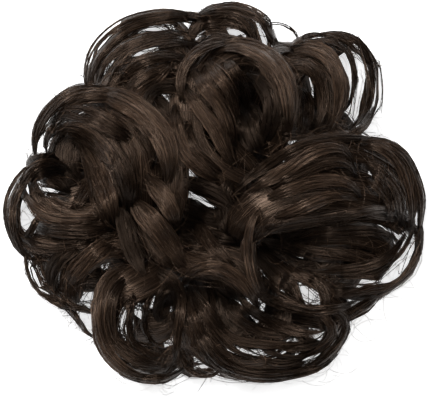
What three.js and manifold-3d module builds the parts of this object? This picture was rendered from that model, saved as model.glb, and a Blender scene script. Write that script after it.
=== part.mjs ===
import * as THREE from "three";
import { mergeVertices } from "three/addons/utils/BufferGeometryUtils.js";
import Module from "manifold-3d";

// A curled top knot hairpiece lying on a table, the elastic band down and the curls up.
// Millimetres, +Z up. The origin is on the table, under the middle of the box round all the curls.

const spread = 80; // from the band's axis to the outermost curls
const crownHeight = 44; // the middle of the highest curl above the table
const clearance = 0.35; // between any two pieces
const tableClearance = 0.5; // under a curl that droops to the table
const lockThickness = 3.4; // of a full lock of fibre
const bandRadius = 25; // the elastic band, to the middle of its cord
const bandCord = 7; // the cord's diameter
const bandPressed = 0.35; // how far the cord is pressed flat where it rests
const woundWall = 3.4; // of the hair wound over the band
const gathers = 14; // ripples of the wound hair
const gatherDepth = 0.7;
const rootDepth = 1.6; // how deep a lock starts in the wound hair, before it is cut to its seat
const tip = { dip: 5, from: 0.75 }; // how far a curl's tip dips, and the share of the lock where that starts

const domeFall = 0.72; // share of the height that is lost at the full spread
const approach = 0.3; // share of a lock that runs from its root into its loop
const rootAngle = { low: 10, high: 112 }; // round the wound hair, from its outer side to past its top
const taper = { root: 0.5, tip: 0.34, grown: 0.3, thinning: 0.7 }; // shares of the width and the length
const slit = { from: 0.42, to: 0.86, width: 0.2, through: 3 }; // an open stretch along a loosely laid lock
const tightest = 0.75; // of a bend's radius that a lock's half width may take

const underCurl = { count: 8, bearing: 23, high: 0.34, low: 0.2 }; // the lower round, at two levels in turn

const stationStep = 9; // along a lock
const fewestStations = 10;
const pathSteps = 160;
const chunk = 4; // stations in each piece of a lock before the pieces are joined
const smoothing = 0.05; // the largest step that is smoothed away where a lock was cut
const bandSides = 8;
const ringSteps = 42;

// The corners of a lock's section, in shares of its half width and of its thickness. It arches.
const lockSection = [
  { across: -1, up: -0.5 },
  { across: 0, up: -0.15 },
  { across: 1, up: -0.5 },
  { across: 0.6, up: 0.4 },
  { across: -0.6, up: 0.4 },
];

// The curls. root and at are bearings from the band's axis; out, loopX, loopY and wide are shares of the
// spread, and level is a share of the crown's height. A lock enters its loop at the angle from and goes turn
// degrees round it, and its loop shrinks by tighten. bank tips its outer edge down.
const curls = [
  { name: "crown_ring", root: 35, at: 69, out: 0.49, loopX: 0.2, loopY: 0.23, from: -60, turn: 300,
    tighten: 0.72, level: 1, bank: 22, wide: 0.2 },
  { name: "crown_left", root: -10, at: 67, out: 0.46, loopX: 0.27, loopY: 0.34, from: -95, turn: -175,
    tighten: 1, level: 0.84, bank: 15, wide: 0.17 },
  { name: "crown_wall", root: -5, at: 62, out: 0.51, loopX: 0.21, loopY: 0.24, from: -110, turn: -130,
    tighten: 1, level: 0.72, bank: 10, wide: 0.2 },
  { name: "upper_left_fan", root: 214, at: 159, out: 0.66, loopX: 0.39, loopY: 0.39, from: -30, turn: 214,
    tighten: 0.3, level: 0.88, bank: 18, wide: 0.24 },
  { name: "upper_left", root: 165, at: 153, out: 0.53, loopX: 0.32, loopY: 0.3, from: -30, turn: 225,
    tighten: 1, level: 0.74, bank: 25, wide: 0.17 },
  { name: "middle_left", root: 228, at: 167, out: 0.42, loopX: 0.28, loopY: 0.39, from: -25, turn: 100,
    tighten: 1, level: 0.96, bank: 10, wide: 0.14 },
  { name: "inner_left", root: 150, at: 12, out: 0.11, loopX: 0.38, loopY: 0.39, from: 172, turn: 75,
    tighten: 1, level: 0.6, bank: 5, wide: 0.17 },
  { name: "inner_lower_left", root: 215, at: -120, out: 0.5, loopX: 0.16, loopY: 0.17, from: 140, turn: 200,
    tighten: 1, level: 0.42, bank: 10, wide: 0.2 },
  { name: "inner_bottom", root: 222, at: -86, out: 0.5, loopX: 0.2, loopY: 0.2, from: 105, turn: -110,
    tighten: 1, level: 0.84, bank: 12, wide: 0.17 },
  { name: "centre_bottom", root: 178, at: -117, out: 0.36, loopX: 0.25, loopY: 0.27, from: 75, turn: -85,
    tighten: 1, level: 0.52, bank: 5, wide: 0.2 },
  { name: "inner_right", root: 28, at: -31, out: 0.48, loopX: 0.21, loopY: 0.24, from: 150, turn: 95,
    tighten: 1, level: 0.8, bank: 10, wide: 0.08 },
  { name: "centre_right", root: 42, at: -40, out: 0.46, loopX: 0.25, loopY: 0.27, from: 125, turn: 105,
    tighten: 1, level: 0.46, bank: 5, wide: 0.22 },
  { name: "right_high", root: -15, at: 1, out: 0.69, loopX: 0.3, loopY: 0.26, from: 165, turn: -200,
    tighten: 1, level: 0.88, bank: 20, wide: 0.21 },
  { name: "right_middle", root: -58, at: -19, out: 0.62, loopX: 0.43, loopY: 0.25, from: 165, turn: -145,
    tighten: 1, level: 1, bank: 12, wide: 0.22 },
  { name: "right_low", root: -15, at: -18, out: 0.78, loopX: 0.26, loopY: 0.21, from: 125, turn: -240,
    tighten: 1, level: 0.66, bank: 22, wide: 0.16, slit: true },
  { name: "right_low_inner", root: -25, at: -22, out: 0.71, loopX: 0.22, loopY: 0.11, from: 110, turn: -220,
    tighten: 1, level: 0.5, bank: 12, wide: 0.14 },
  { name: "right_inner", root: -20, at: -27, out: 0.64, loopX: 0.31, loopY: 0.11, from: 95, turn: -110,
    tighten: 1, level: 0.42, bank: 5, wide: 0.24 },
  { name: "lower_right", root: -45, at: -53, out: 0.77, loopX: 0.2, loopY: 0.18, from: 90, turn: -215,
    tighten: 1, level: 0.72, bank: 22, wide: 0.17 },
  { name: "bottom", root: -100, at: -71, out: 0.62, loopX: 0.26, loopY: 0.22, from: 165, turn: 185,
    tighten: 1, level: 0.62, bank: 22, wide: 0.2 },
  { name: "bottom_small", root: -98, at: -91, out: 0.71, loopX: 0.1, loopY: 0.09, from: 160, turn: 200,
    tighten: 1, level: 0.34, bank: 20, wide: 0.1 },
  { name: "bottom_left", root: 240, at: -114, out: 0.65, loopX: 0.19, loopY: 0.21, from: 95, turn: 235,
    tighten: 0.9, level: 0.8, bank: 20, wide: 0.2 },
  { name: "lower_left_inner", root: 212, at: -136, out: 0.61, loopX: 0.2, loopY: 0.21, from: 80, turn: 135,
    tighten: 1, level: 0.58, bank: 12, wide: 0.17 },
  { name: "lower_left", root: 205, at: -155, out: 0.73, loopX: 0.16, loopY: 0.15, from: 60, turn: 250,
    tighten: 1, level: 0.48, bank: 22, wide: 0.13 },
  { name: "left_inner", root: 180, at: 171, out: 0.6, loopX: 0.22, loopY: 0.18, from: -50, turn: -150,
    tighten: 1, level: 0.66, bank: 12, wide: 0.14 },
  { name: "left", root: 190, at: -176, out: 0.69, loopX: 0.24, loopY: 0.2, from: -50, turn: -190,
    tighten: 1, level: 0.54, bank: 22, wide: 0.16, slit: true },
  { name: "top_left", root: 90, at: 115, out: 0.65, loopX: 0.26, loopY: 0.28, from: 45, turn: 165,
    tighten: 1, level: 0.54, bank: 22, wide: 0.15, slit: true },
  { name: "top_left_middle", root: 100, at: 113, out: 0.57, loopX: 0.23, loopY: 0.21, from: 55, turn: 150,
    tighten: 1, level: 0.64, bank: 12, wide: 0.15 },
  { name: "top_left_low", root: 110, at: 123, out: 0.48, loopX: 0.28, loopY: 0.24, from: 50, turn: 130,
    tighten: 1, level: 0.78, bank: 12, wide: 0.16 },
  { name: "top", root: 75, at: 82, out: 0.74, loopX: 0.17, loopY: 0.17, from: -20, turn: 215,
    tighten: 1, level: 0.56, bank: 22, wide: 0.15, slit: true },
  { name: "top_inner", root: 80, at: 82, out: 0.59, loopX: 0.18, loopY: 0.16, from: 0, turn: 170,
    tighten: 1, level: 0.46, bank: 10, wide: 0.18 },
  { name: "top_right", root: 50, at: 42, out: 0.81, loopX: 0.2, loopY: 0.21, from: 155, turn: -235,
    tighten: 1, level: 0.54, bank: 22, wide: 0.16, slit: true },
  { name: "top_right_inner", root: 45, at: 46, out: 0.65, loopX: 0.16, loopY: 0.19, from: 130, turn: -190,
    tighten: 1, level: 0.72, bank: 12, wide: 0.18 },
];

// The round of plain curls underneath, all alike but for their bearings and levels.
const underCurls = Array.from({ length: underCurl.count }, (_, i) => {
  const at = underCurl.bearing + (360 * i) / underCurl.count;
  const level = i % 2 ? underCurl.low : underCurl.high;
  return { name: `under_${i + 1}`, root: at - 22, at, out: 0.57, loopX: 0.19, loopY: 0.19, from: at - 130,
    turn: 250, tighten: 0.8, level, bank: 10, wide: 0.27 };
});

const hairColour = 0x241a16;
const bandColour = 0x17110f;
const hairMaterial = new THREE.MeshStandardMaterial({ color: hairColour, roughness: 0.42, metalness: 0 });
const bandMaterial = new THREE.MeshStandardMaterial({ color: bandColour, roughness: 0.85, metalness: 0 });

const cordMiddle = bandCord / 2 - bandPressed;
const woundInner = bandCord / 2 + clearance;
const woundOuter = woundInner + woundWall;

const wasm = await Module();
wasm.setup();

function smooth(share) {
  return THREE.MathUtils.smoothstep(share, 0, 1);
}

function onBearing(degrees, radius, z = 0) {
  const angle = THREE.MathUtils.degToRad(degrees);
  return new THREE.Vector3(radius * Math.cos(angle), radius * Math.sin(angle), z);
}

function toSolid(geometry) {
  const bare = geometry.clone();
  for (const name of Object.keys(bare.attributes)) {
    if (name !== "position") bare.deleteAttribute(name);
  }
  const merged = mergeVertices(bare, 1e-4);
  return new wasm.Manifold(
    new wasm.Mesh({
      numProp: 3,
      vertProperties: merged.attributes.position.array,
      triVerts: new Uint32Array(merged.index.array),
    }),
  );
}

function toGeometry(solid) {
  const mesh = solid.getMesh();
  const geometry = new THREE.BufferGeometry();
  geometry.setAttribute("position", new THREE.Float32BufferAttribute(mesh.vertProperties, 3));
  geometry.setIndex(new THREE.Uint32BufferAttribute(mesh.triVerts, 1));
  geometry.computeVertexNormals();
  return geometry;
}

// A closed ring swept round the band's axis. profile(bearing) gives its corners as radius and height.
function ringGeometry(steps, profile) {
  const sections = [];
  for (let i = 0; i < steps; i += 1) {
    const bearing = (360 * i) / steps;
    sections.push(profile(bearing).map((corner) => onBearing(bearing, corner.x, corner.y)));
  }
  return skin(sections, true);
}

// The skin over a row of sections that all have the same corners, either closed on itself or with flat ends.
function skin(sections, closed, cap = []) {
  const corners = sections[0].length;
  const positions = sections.flat().flatMap((point) => [point.x, point.y, point.z]);
  const faces = [];
  const last = closed ? sections.length : sections.length - 1;
  for (let i = 0; i < last; i += 1) {
    const here = i * corners;
    const next = ((i + 1) % sections.length) * corners;
    for (let j = 0; j < corners; j += 1) {
      const k = (j + 1) % corners;
      faces.push(here + j, next + k, here + k);
      faces.push(here + j, next + j, next + k);
    }
  }
  const end = (sections.length - 1) * corners;
  for (const [a, b, c] of closed ? [] : cap) {
    faces.push(a, b, c);
    faces.push(end + a, end + c, end + b);
  }
  const geometry = new THREE.BufferGeometry();
  geometry.setAttribute("position", new THREE.Float32BufferAttribute(positions, 3));
  geometry.setIndex(faces);
  return geometry;
}

function elasticBand() {
  return ringGeometry(ringSteps, () => {
    const corners = [];
    for (let j = 0; j < bandSides; j += 1) {
      const angle = (2 * Math.PI * (j + 0.5)) / bandSides - Math.PI / 2;
      const x = bandRadius + (bandCord / 2) * Math.cos(angle);
      const y = cordMiddle + (bandCord / 2) * Math.sin(angle);
      corners.push(new THREE.Vector2(x, Math.max(0, y)));
    }
    return corners;
  });
}

// The hair wound over the band is open below, where the band rests. grown is added to its outer side, and
// filled leaves out the channel for the band, for cutting other pieces to it.
function woundHair(grown, filled) {
  const bottom = filled ? 0 : clearance;
  const over = [0, 36, 72, 108, 144, 180];
  return ringGeometry(ringSteps, (bearing) => {
    const ripple = (gatherDepth / 2) * Math.cos(THREE.MathUtils.degToRad(bearing * gathers));
    const outer = woundOuter + ripple + grown;
    const corners = [new THREE.Vector2(bandRadius + outer, bottom)];
    for (const degrees of over) {
      const corner = onBearing(degrees, outer);
      corners.push(new THREE.Vector2(bandRadius + corner.x, cordMiddle + corner.y));
    }
    corners.push(new THREE.Vector2(bandRadius - outer, bottom));
    if (filled) return corners;
    corners.push(new THREE.Vector2(bandRadius - woundInner, bottom));
    for (let j = bandSides / 2; j > 0; j -= 1) {
      const corner = onBearing((360 * (j - 0.5)) / bandSides, woundInner);
      corners.push(new THREE.Vector2(bandRadius + corner.x, cordMiddle + corner.y));
    }
    corners.push(new THREE.Vector2(bandRadius + woundInner, bottom));
    return corners;
  });
}

// The middle line of a lock: from its root into its loop, over a dome that falls towards the outline.
function lockPath(curl) {
  const lean = THREE.MathUtils.lerp(rootAngle.low, rootAngle.high, curl.level);
  const seat = onBearing(lean, woundOuter - rootDepth);
  const root = onBearing(curl.root, bandRadius + seat.x, cordMiddle + seat.y);
  const middle = onBearing(curl.at, curl.out * spread);
  const points = [];
  for (let i = 0; i <= pathSteps; i += 1) {
    const share = i / pathSteps;
    const round = Math.max(0, (share - approach / 2) / (1 - approach / 2));
    const angle = THREE.MathUtils.degToRad(curl.from + curl.turn * round);
    const size = spread * curl.tighten ** round;
    const arrived = 1 - (1 - Math.min(1, share / approach)) ** 2;
    const x = middle.x + curl.loopX * size * Math.cos(angle);
    const y = middle.y + curl.loopY * size * Math.sin(angle);
    const point = new THREE.Vector3(x, y, 0).lerp(root, arrived === 1 ? 0 : 1 - arrived);
    const height = curl.level * crownHeight * (1 - domeFall * (Math.hypot(point.x, point.y) / spread) ** 4);
    const dip = tip.dip * smooth((share - tip.from) / (1 - tip.from));
    point.z = THREE.MathUtils.lerp(root.z, Math.max(height, lockThickness), arrived) - dip;
    points.push(point);
  }
  return points;
}

// Evenly spaced stations along a lock, each with its place, its three directions and its bend's radius.
function lockStations(curl) {
  const line = new THREE.CatmullRomCurve3(lockPath(curl));
  line.arcLengthDivisions = pathSteps * 2;
  const count = Math.max(fewestStations, Math.round(line.getLength() / stationStep));
  const side = Math.sign(curl.turn);
  const stations = [];
  for (let i = 0; i <= count; i += 1) {
    const share = i / count;
    const place = line.getPointAt(share);
    const along = line.getTangentAt(share);
    const across = new THREE.Vector3(along.y, -along.x, 0).normalize().multiplyScalar(side);
    const reach = Math.hypot(place.x, place.y) / spread;
    const steepness = (curl.level * crownHeight * domeFall * 4 * reach ** 2) / spread;
    across.z -= (steepness * across.dot(new THREE.Vector3(place.x, place.y, 0))) / spread;
    across.addScaledVector(along, -across.dot(along)).normalize();
    across.applyAxisAngle(along, THREE.MathUtils.degToRad(curl.bank) * side);
    const up = new THREE.Vector3().crossVectors(across, along).multiplyScalar(side);
    stations.push({ share, place, along, across, up, bend: Infinity });
  }
  const step = line.getLength() / count;
  for (let i = 1; i < count; i += 1) {
    stations[i].bend = (2 * step) / stations[i - 1].along.angleTo(stations[i + 1].along);
  }
  return stations;
}

// An outline moved out by an amount, with its corners kept sharp.
function grownOutline(corners, amount) {
  return corners.map((corner, i) => {
    const arriving = corner.clone().sub(corners.at(i - 1)).normalize();
    const leaving = corners[(i + 1) % corners.length].clone().sub(corner).normalize();
    const outward = new THREE.Vector2(arriving.y + leaving.y, -arriving.x - leaving.x).normalize();
    const miter = amount / (outward.x * arriving.y - outward.y * arriving.x);
    return corner.clone().addScaledVector(outward, miter);
  });
}

// A lock's solid. grown is added all round it, and wider and thicker scale its section.
function lockSolid(curl, { grown = 0, from = 0, to = 1, wider = 1, thicker = 1 } = {}) {
  const stations = lockStations(curl).filter(({ share }) => share >= from && share <= to);
  const side = Math.sign(curl.turn);
  const outline = lockSection.map(({ across, up }) => new THREE.Vector2(across * side, up));
  if (side < 0) outline.reverse();
  const sections = stations.map(({ share, place, along, across, up, bend }, i) => {
    const widened = THREE.MathUtils.lerp(taper.root, 1, smooth(share / taper.grown));
    const thinned = smooth((share - taper.thinning) / (1 - taper.thinning));
    const fullness = widened * THREE.MathUtils.lerp(1, taper.tip, thinned);
    const half = Math.min((curl.wide * spread * fullness) / 2, bend * tightest) * wider;
    const thick = lockThickness * Math.sqrt(fullness) * thicker;
    const corners = outline.map((corner) => new THREE.Vector2(corner.x * half, corner.y * thick));
    const end = (i === 0 ? -grown : 0) + (i === stations.length - 1 ? grown : 0);
    return grownOutline(corners, grown).map((corner) => {
      const point = place.clone();
      point.addScaledVector(across, corner.x * side);
      point.addScaledVector(up, corner.y);
      point.addScaledVector(along, end);
      point.z = Math.max(point.z, tableClearance);
      return point;
    });
  });
  const cap = THREE.ShapeUtils.triangulateShape(outline, []);
  const pieces = [];
  for (let i = 0; i < sections.length - 1; i += chunk) {
    pieces.push(toSolid(skin(sections.slice(i, i + chunk + 1), false, cap)));
  }
  return wasm.Manifold.union(pieces);
}

const hairpiece = new THREE.Group();

function addPiece(name, geometry, material) {
  const piece = new THREE.Mesh(geometry, material);
  piece.name = name;
  hairpiece.add(piece);
}

addPiece("elastic_band", elasticBand(), bandMaterial);
addPiece("hair_base", woundHair(0, false), hairMaterial);

// The highest locks keep their whole shape, and each lower one is cut clear of the wound hair and of those.
const highestFirst = [...curls, ...underCurls].sort((a, b) => b.level - a.level);
const keepClear = [toSolid(woundHair(clearance, true))];
for (const curl of highestFirst) {
  const whole = lockSolid(curl);
  let lock = whole;
  if (curl.slit) {
    const open = lockSolid(curl, { from: slit.from, to: slit.to, wider: slit.width, thicker: slit.through });
    lock = lock.subtract(open);
  }
  for (const other of keepClear) lock = lock.subtract(other);
  keepClear.push(lockSolid(curl, { grown: clearance }).add(whole));
  const bodies = lock.asOriginal().simplify(smoothing).decompose();
  bodies.sort((a, b) => b.volume() - a.volume());
  addPiece(`curl_${curl.name}`, toGeometry(bodies[0]), hairMaterial);
}

const box = new THREE.Box3().setFromObject(hairpiece);
const middle = box.getCenter(new THREE.Vector3());
hairpiece.position.set(-middle.x, -middle.y, -box.min.z);

export default hairpiece;
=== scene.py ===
import math

import bpy
import numpy as np
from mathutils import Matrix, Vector
from mathutils.bvhtree import BVHTree


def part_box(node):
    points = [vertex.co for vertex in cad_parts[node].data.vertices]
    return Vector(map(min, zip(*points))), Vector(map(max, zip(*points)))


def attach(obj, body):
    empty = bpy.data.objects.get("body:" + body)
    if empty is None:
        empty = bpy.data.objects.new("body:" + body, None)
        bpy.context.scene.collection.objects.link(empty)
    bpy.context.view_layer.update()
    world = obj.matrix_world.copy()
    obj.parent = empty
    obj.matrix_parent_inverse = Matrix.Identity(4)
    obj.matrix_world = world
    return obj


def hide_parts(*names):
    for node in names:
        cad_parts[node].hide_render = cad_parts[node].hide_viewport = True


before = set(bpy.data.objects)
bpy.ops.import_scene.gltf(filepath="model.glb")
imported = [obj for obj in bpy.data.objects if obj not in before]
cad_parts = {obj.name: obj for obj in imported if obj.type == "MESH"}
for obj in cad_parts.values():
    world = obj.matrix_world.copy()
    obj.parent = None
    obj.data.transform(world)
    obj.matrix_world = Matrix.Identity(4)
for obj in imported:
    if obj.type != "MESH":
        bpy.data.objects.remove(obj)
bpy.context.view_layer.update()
print("frame loaded:", len(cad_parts), "nodes")

mm = 0.001
bandLow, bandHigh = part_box("elastic_band")
bandCentre = np.array([(bandLow.x + bandHigh.x) / 2, (bandLow.y + bandHigh.y) / 2, 0.0])


# helpers

def smoothShare(value):
    value = np.clip(value, 0.0, 1.0)
    return value * value * (3 - 2 * value)


def blendTo(start, end, share):
    return start + (end - start) * share


def waving(turns):
    return np.sin(2 * np.pi * turns)


def tapered(share, start, grown, end, thinning):
    # 1, but less before the share grown and after the share thinning
    widened = blendTo(start, 1, smoothShare(share / grown))
    return widened * blendTo(1, end, smoothShare((share - thinning) / (1 - thinning)))


def onBearing(degrees):
    angle = math.radians(degrees)
    return np.array([math.cos(angle), math.sin(angle)])


def unitRows(rows):
    return rows / np.maximum(np.linalg.norm(rows, axis=-1, keepdims=True), 1e-12)


def alongRoute(share, stations, rows):
    # the rows' values at each share of the way
    return np.stack([np.interp(share, stations, column) for column in rows.T], axis=-1)


def meshPiece(name, form, materials, stands=None):
    # a piece of the part from mesh rows whose points are in mm from the band's middle
    quads, triangles = form["quads"], form["triangles"]
    mesh = bpy.data.meshes.new(name)
    faceCount = len(quads) + len(triangles)
    corners = np.concatenate([quads.ravel(), triangles.ravel()]).astype(np.int32)
    starts = np.concatenate([np.arange(len(quads)) * 4, len(quads) * 4 + np.arange(len(triangles)) * 3])
    mesh.vertices.add(len(form["points"]))
    mesh.vertices.foreach_set("co", (form["points"] * mm + bandCentre).astype(np.float32).ravel())
    mesh.loops.add(len(corners))
    mesh.loops.foreach_set("vertex_index", corners)
    mesh.polygons.add(faceCount)
    mesh.polygons.foreach_set("loop_start", starts.astype(np.int32))
    mesh.polygons.foreach_set("use_smooth", np.ones(faceCount, dtype=bool))
    if "faceMaterial" in form:
        mesh.polygons.foreach_set("material_index", form["faceMaterial"].astype(np.int32))
    fibreMap = mesh.uv_layers.new(name="fibreMap")
    fibreMap.data.foreach_set("uv", form["fibreMap"][corners].astype(np.float32).ravel())
    mesh.update(calc_edges=True)
    mesh.validate()
    for material in materials:
        mesh.materials.append(material)
    piece = bpy.data.objects.new(name, mesh)
    bpy.context.scene.collection.objects.link(piece)
    if stands:
        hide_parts(stands)
    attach(piece, "root")
    return len(quads) * 2 + len(triangles)


def tubeFaces(tubes, rings, sides, closed=False):
    # quads of a set of tubes whose points run tube by tube, ring by ring
    spans = rings if closed else rings - 1
    tube = np.arange(tubes)[:, None, None] * rings * sides
    ring = np.arange(spans)[None, :, None]
    side = np.arange(sides)[None, None, :]
    nextRing = (ring + 1) % rings
    nextSide = (side + 1) % sides
    quad = np.stack([tube + ring * sides + side, tube + ring * sides + nextSide,
                     tube + nextRing * sides + nextSide, tube + nextRing * sides + side], axis=-1)
    return quad.reshape(-1, 4)


# materials

fibreLook = {
    "deep": (0.0068, 0.0042, 0.0030, 1),  # the darkest fibres
    "middle": (0.0155, 0.0093, 0.0061, 1),
    "warm": (0.0420, 0.0260, 0.0168, 1),  # the few light ones
    "deepSpan": (0.32, 0.52),  # of the noise, from deep to middle
    "warmSpan": (0.52, 0.70),  # of the noise, from middle to warm
    "roughSpan": (0.3, 0.7),  # of the noise, from smoothest to roughest
    "brightFrom": 0.36,  # share of a strand's length where the painted shade at its start has ended
    "brightTo": 0.60,  # and where the painted shade at its end begins
    "endRoughness": 0.15,  # added at both ends
    "roughness": (0.14, 0.32),
    "specularTint": (1.0, 0.70, 0.52, 1),
    "gloss": 1.44,  # index of refraction
    "relief": 0.3,  # mm
}
tintSockets = (
    ("INPUT", "NodeSocketColor", ("Deep", "Middle", "Warm")),
    ("INPUT", "NodeSocketFloat", ("Fibres Across", "Changes Along", "Painted End Shade", "Smoothest", "Roughest")),
    ("OUTPUT", "NodeSocketColor", ("Color",)),
    ("OUTPUT", "NodeSocketFloat", ("Roughness", "Height")),
)


def addNode(tree, kind, feeds, **settings):
    # a shader node with its settings, its inputs fed by other sockets or by plain values
    node = tree.nodes.new(kind)
    for key, value in settings.items():
        setattr(node, key, value)
    for key, feed in feeds.items():
        if isinstance(feed, bpy.types.NodeSocket):
            tree.links.new(feed, node.inputs[key])
        else:
            node.inputs[key].default_value = feed
    return node


def buildFibreTint():
    look = fibreLook
    group = bpy.data.node_groups.new("fibreTint", "ShaderNodeTree")
    for way, kind, names in tintSockets:
        for name in names:
            group.interface.new_socket(name, in_out=way, socket_type=kind)

    def combined(kind, first, second):
        return addNode(group, "ShaderNodeMath", {0: first, 1: second}, operation=kind).outputs[0]

    def mapped(value, feeds, **settings):
        return addNode(group, "ShaderNodeMapRange", {"Value": value, **feeds}, **settings).outputs["Result"]

    def mapSpan(value, span):
        return mapped(value, {"From Min": span[0], "From Max": span[1]})

    def mixed(share, first, second):
        feeds = {"Factor": share, "A": first, "B": second}
        return addNode(group, "ShaderNodeMix", feeds, data_type="RGBA").outputs["Result"]

    given = group.nodes.new("NodeGroupInput").outputs
    place = addNode(group, "ShaderNodeUVMap", {}, uv_map="fibreMap").outputs["UV"]
    parts = addNode(group, "ShaderNodeSeparateXYZ", {0: place}).outputs
    across = combined("MULTIPLY", parts["X"], given["Fibres Across"])
    along = combined("MULTIPLY", parts["Y"], given["Changes Along"])
    grid = addNode(group, "ShaderNodeCombineXYZ", {"X": across, "Y": along}).outputs[0]
    noise = {"Scale": 1.0, "Detail": 2.0, "Vector": grid}
    streak = addNode(group, "ShaderNodeTexNoise", noise, noise_dimensions="2D").outputs["Fac"]

    # the colour of each fibre, with painted shade towards both ends, where a strand goes in under the others
    darkToMiddle = mixed(mapSpan(streak, look["deepSpan"]), given["Deep"], given["Middle"])
    tint = mixed(mapSpan(streak, look["warmSpan"]), darkToMiddle, given["Warm"])
    opening = mapped(parts["Y"], {"From Max": look["brightFrom"]}, interpolation_type="SMOOTHSTEP")
    fromEnd = {"From Min": 1.0, "From Max": look["brightTo"]}
    closing = mapped(parts["Y"], fromEnd, interpolation_type="SMOOTHSTEP")
    inMiddle = combined("MULTIPLY", opening, closing)
    paintedEndShade = mapped(inMiddle, {"To Min": given["Painted End Shade"]})
    shaded = addNode(group, "ShaderNodeVectorMath", {0: tint, "Scale": paintedEndShade}, operation="SCALE")

    # the roughness of each fibre, more at both ends
    roughFrom, roughTo = look["roughSpan"]
    rough = mapped(streak, {"From Min": roughFrom, "From Max": roughTo, "To Min": given["Smoothest"],
                            "To Max": given["Roughest"]})
    atEnds = mapped(inMiddle, {"To Min": look["endRoughness"], "To Max": 0.0})
    rougher = combined("ADD", rough, atEnds)
    results = {"Color": shaded.outputs["Vector"], "Roughness": rougher, "Height": streak}
    addNode(group, "NodeGroupOutput", results)
    return group


fibreTint = buildFibreTint()


def fibreMaterial(name, across, along, bump=0.0, darker=1.0, ends=0.26, matte=0.0):
    look = fibreLook
    material = bpy.data.materials.new(name)
    material.use_nodes = True
    tree = material.node_tree
    shader = tree.nodes["Principled BSDF"]
    feeds = {"Fibres Across": across, "Changes Along": along, "Painted End Shade": ends,
             "Smoothest": look["roughness"][0] + matte, "Roughest": look["roughness"][1] + matte}
    # darker scales the fibre colours: the painted shade or painted light of each copy, the painted highlight of
    # the single hairs, and the band's own darker tone; ends sets the painted shade at the strands' ends
    for key in ("deep", "middle", "warm"):
        feeds[key.capitalize()] = tuple(c * darker for c in look[key][:3]) + (1,)
    tint = addNode(tree, "ShaderNodeGroup", feeds, node_tree=fibreTint).outputs
    tree.links.new(tint["Color"], shader.inputs["Base Color"])
    tree.links.new(tint["Roughness"], shader.inputs["Roughness"])
    shader.inputs["Specular Tint"].default_value = look["specularTint"]
    shader.inputs["IOR"].default_value = look["gloss"]
    if bump:
        feeds = {"Strength": bump, "Distance": look["relief"] * mm, "Height": tint["Height"]}
        relief = addNode(tree, "ShaderNodeBump", feeds)
        tree.links.new(relief.outputs["Normal"], shader.inputs["Normal"])
    return material


def fibrePair(name, level, matte=0.0):
    # the loose fibres and the imported body under them, at one level of painted light and shade
    return [fibreMaterial(f"loose{name}", across=900, along=5, darker=level, matte=matte),
            fibreMaterial(f"packed{name}", across=170, along=4, bump=0.8, darker=0.85 * level)]


# lit and shaded copies of one fibre: painted shade at 0.32 and 0.65 of its colour, painted light at 2.15
shadedPair = fibrePair("InShade", 0.32, matte=0.22)
paintedDimPair = fibrePair("Low", 0.65)
middlePair = fibrePair("Middle", 1.0)
paintedLightPair = fibrePair("Bright", 2.15)
# lighter than the other fibres: a painted highlight for the light that single stray hairs catch
paintedGlintFibre = fibreMaterial("paintedGlintFibre", across=900, along=5, darker=3.6, ends=0.8)
bandKnit = fibreMaterial("bandKnit", across=240, along=24, bump=0.5, darker=0.7, ends=1.0)
print("materials made")


# the curls, each lock a set of fibres round a core

visibleAcross = {  # the part of a lock's width that its strands take, from its inner to its outer edge
    "crown_ring": (-0.3, 1.0), "right_high": (-1, 0.8), "upper_left_fan": (-1, 1),
}

lockShape = {  # millimetres and shares, as the part's source has them
    "spread": 80, "crownHeight": 44, "thickness": 3.4, "bandRadius": 25, "cordMiddle": 3.15,
    "woundOuter": 7.25, "rootDepth": 1.6, "rootLow": 10, "rootHigh": 112, "domeFall": 0.72,
    "approach": 0.3, "tipDip": 5, "tipFrom": 0.75, "rootTaper": 0.5, "tipTaper": 0.34,
    "grown": 0.3, "thinning": 0.7, "tightest": 0.75, "pathSteps": 160,
}

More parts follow.
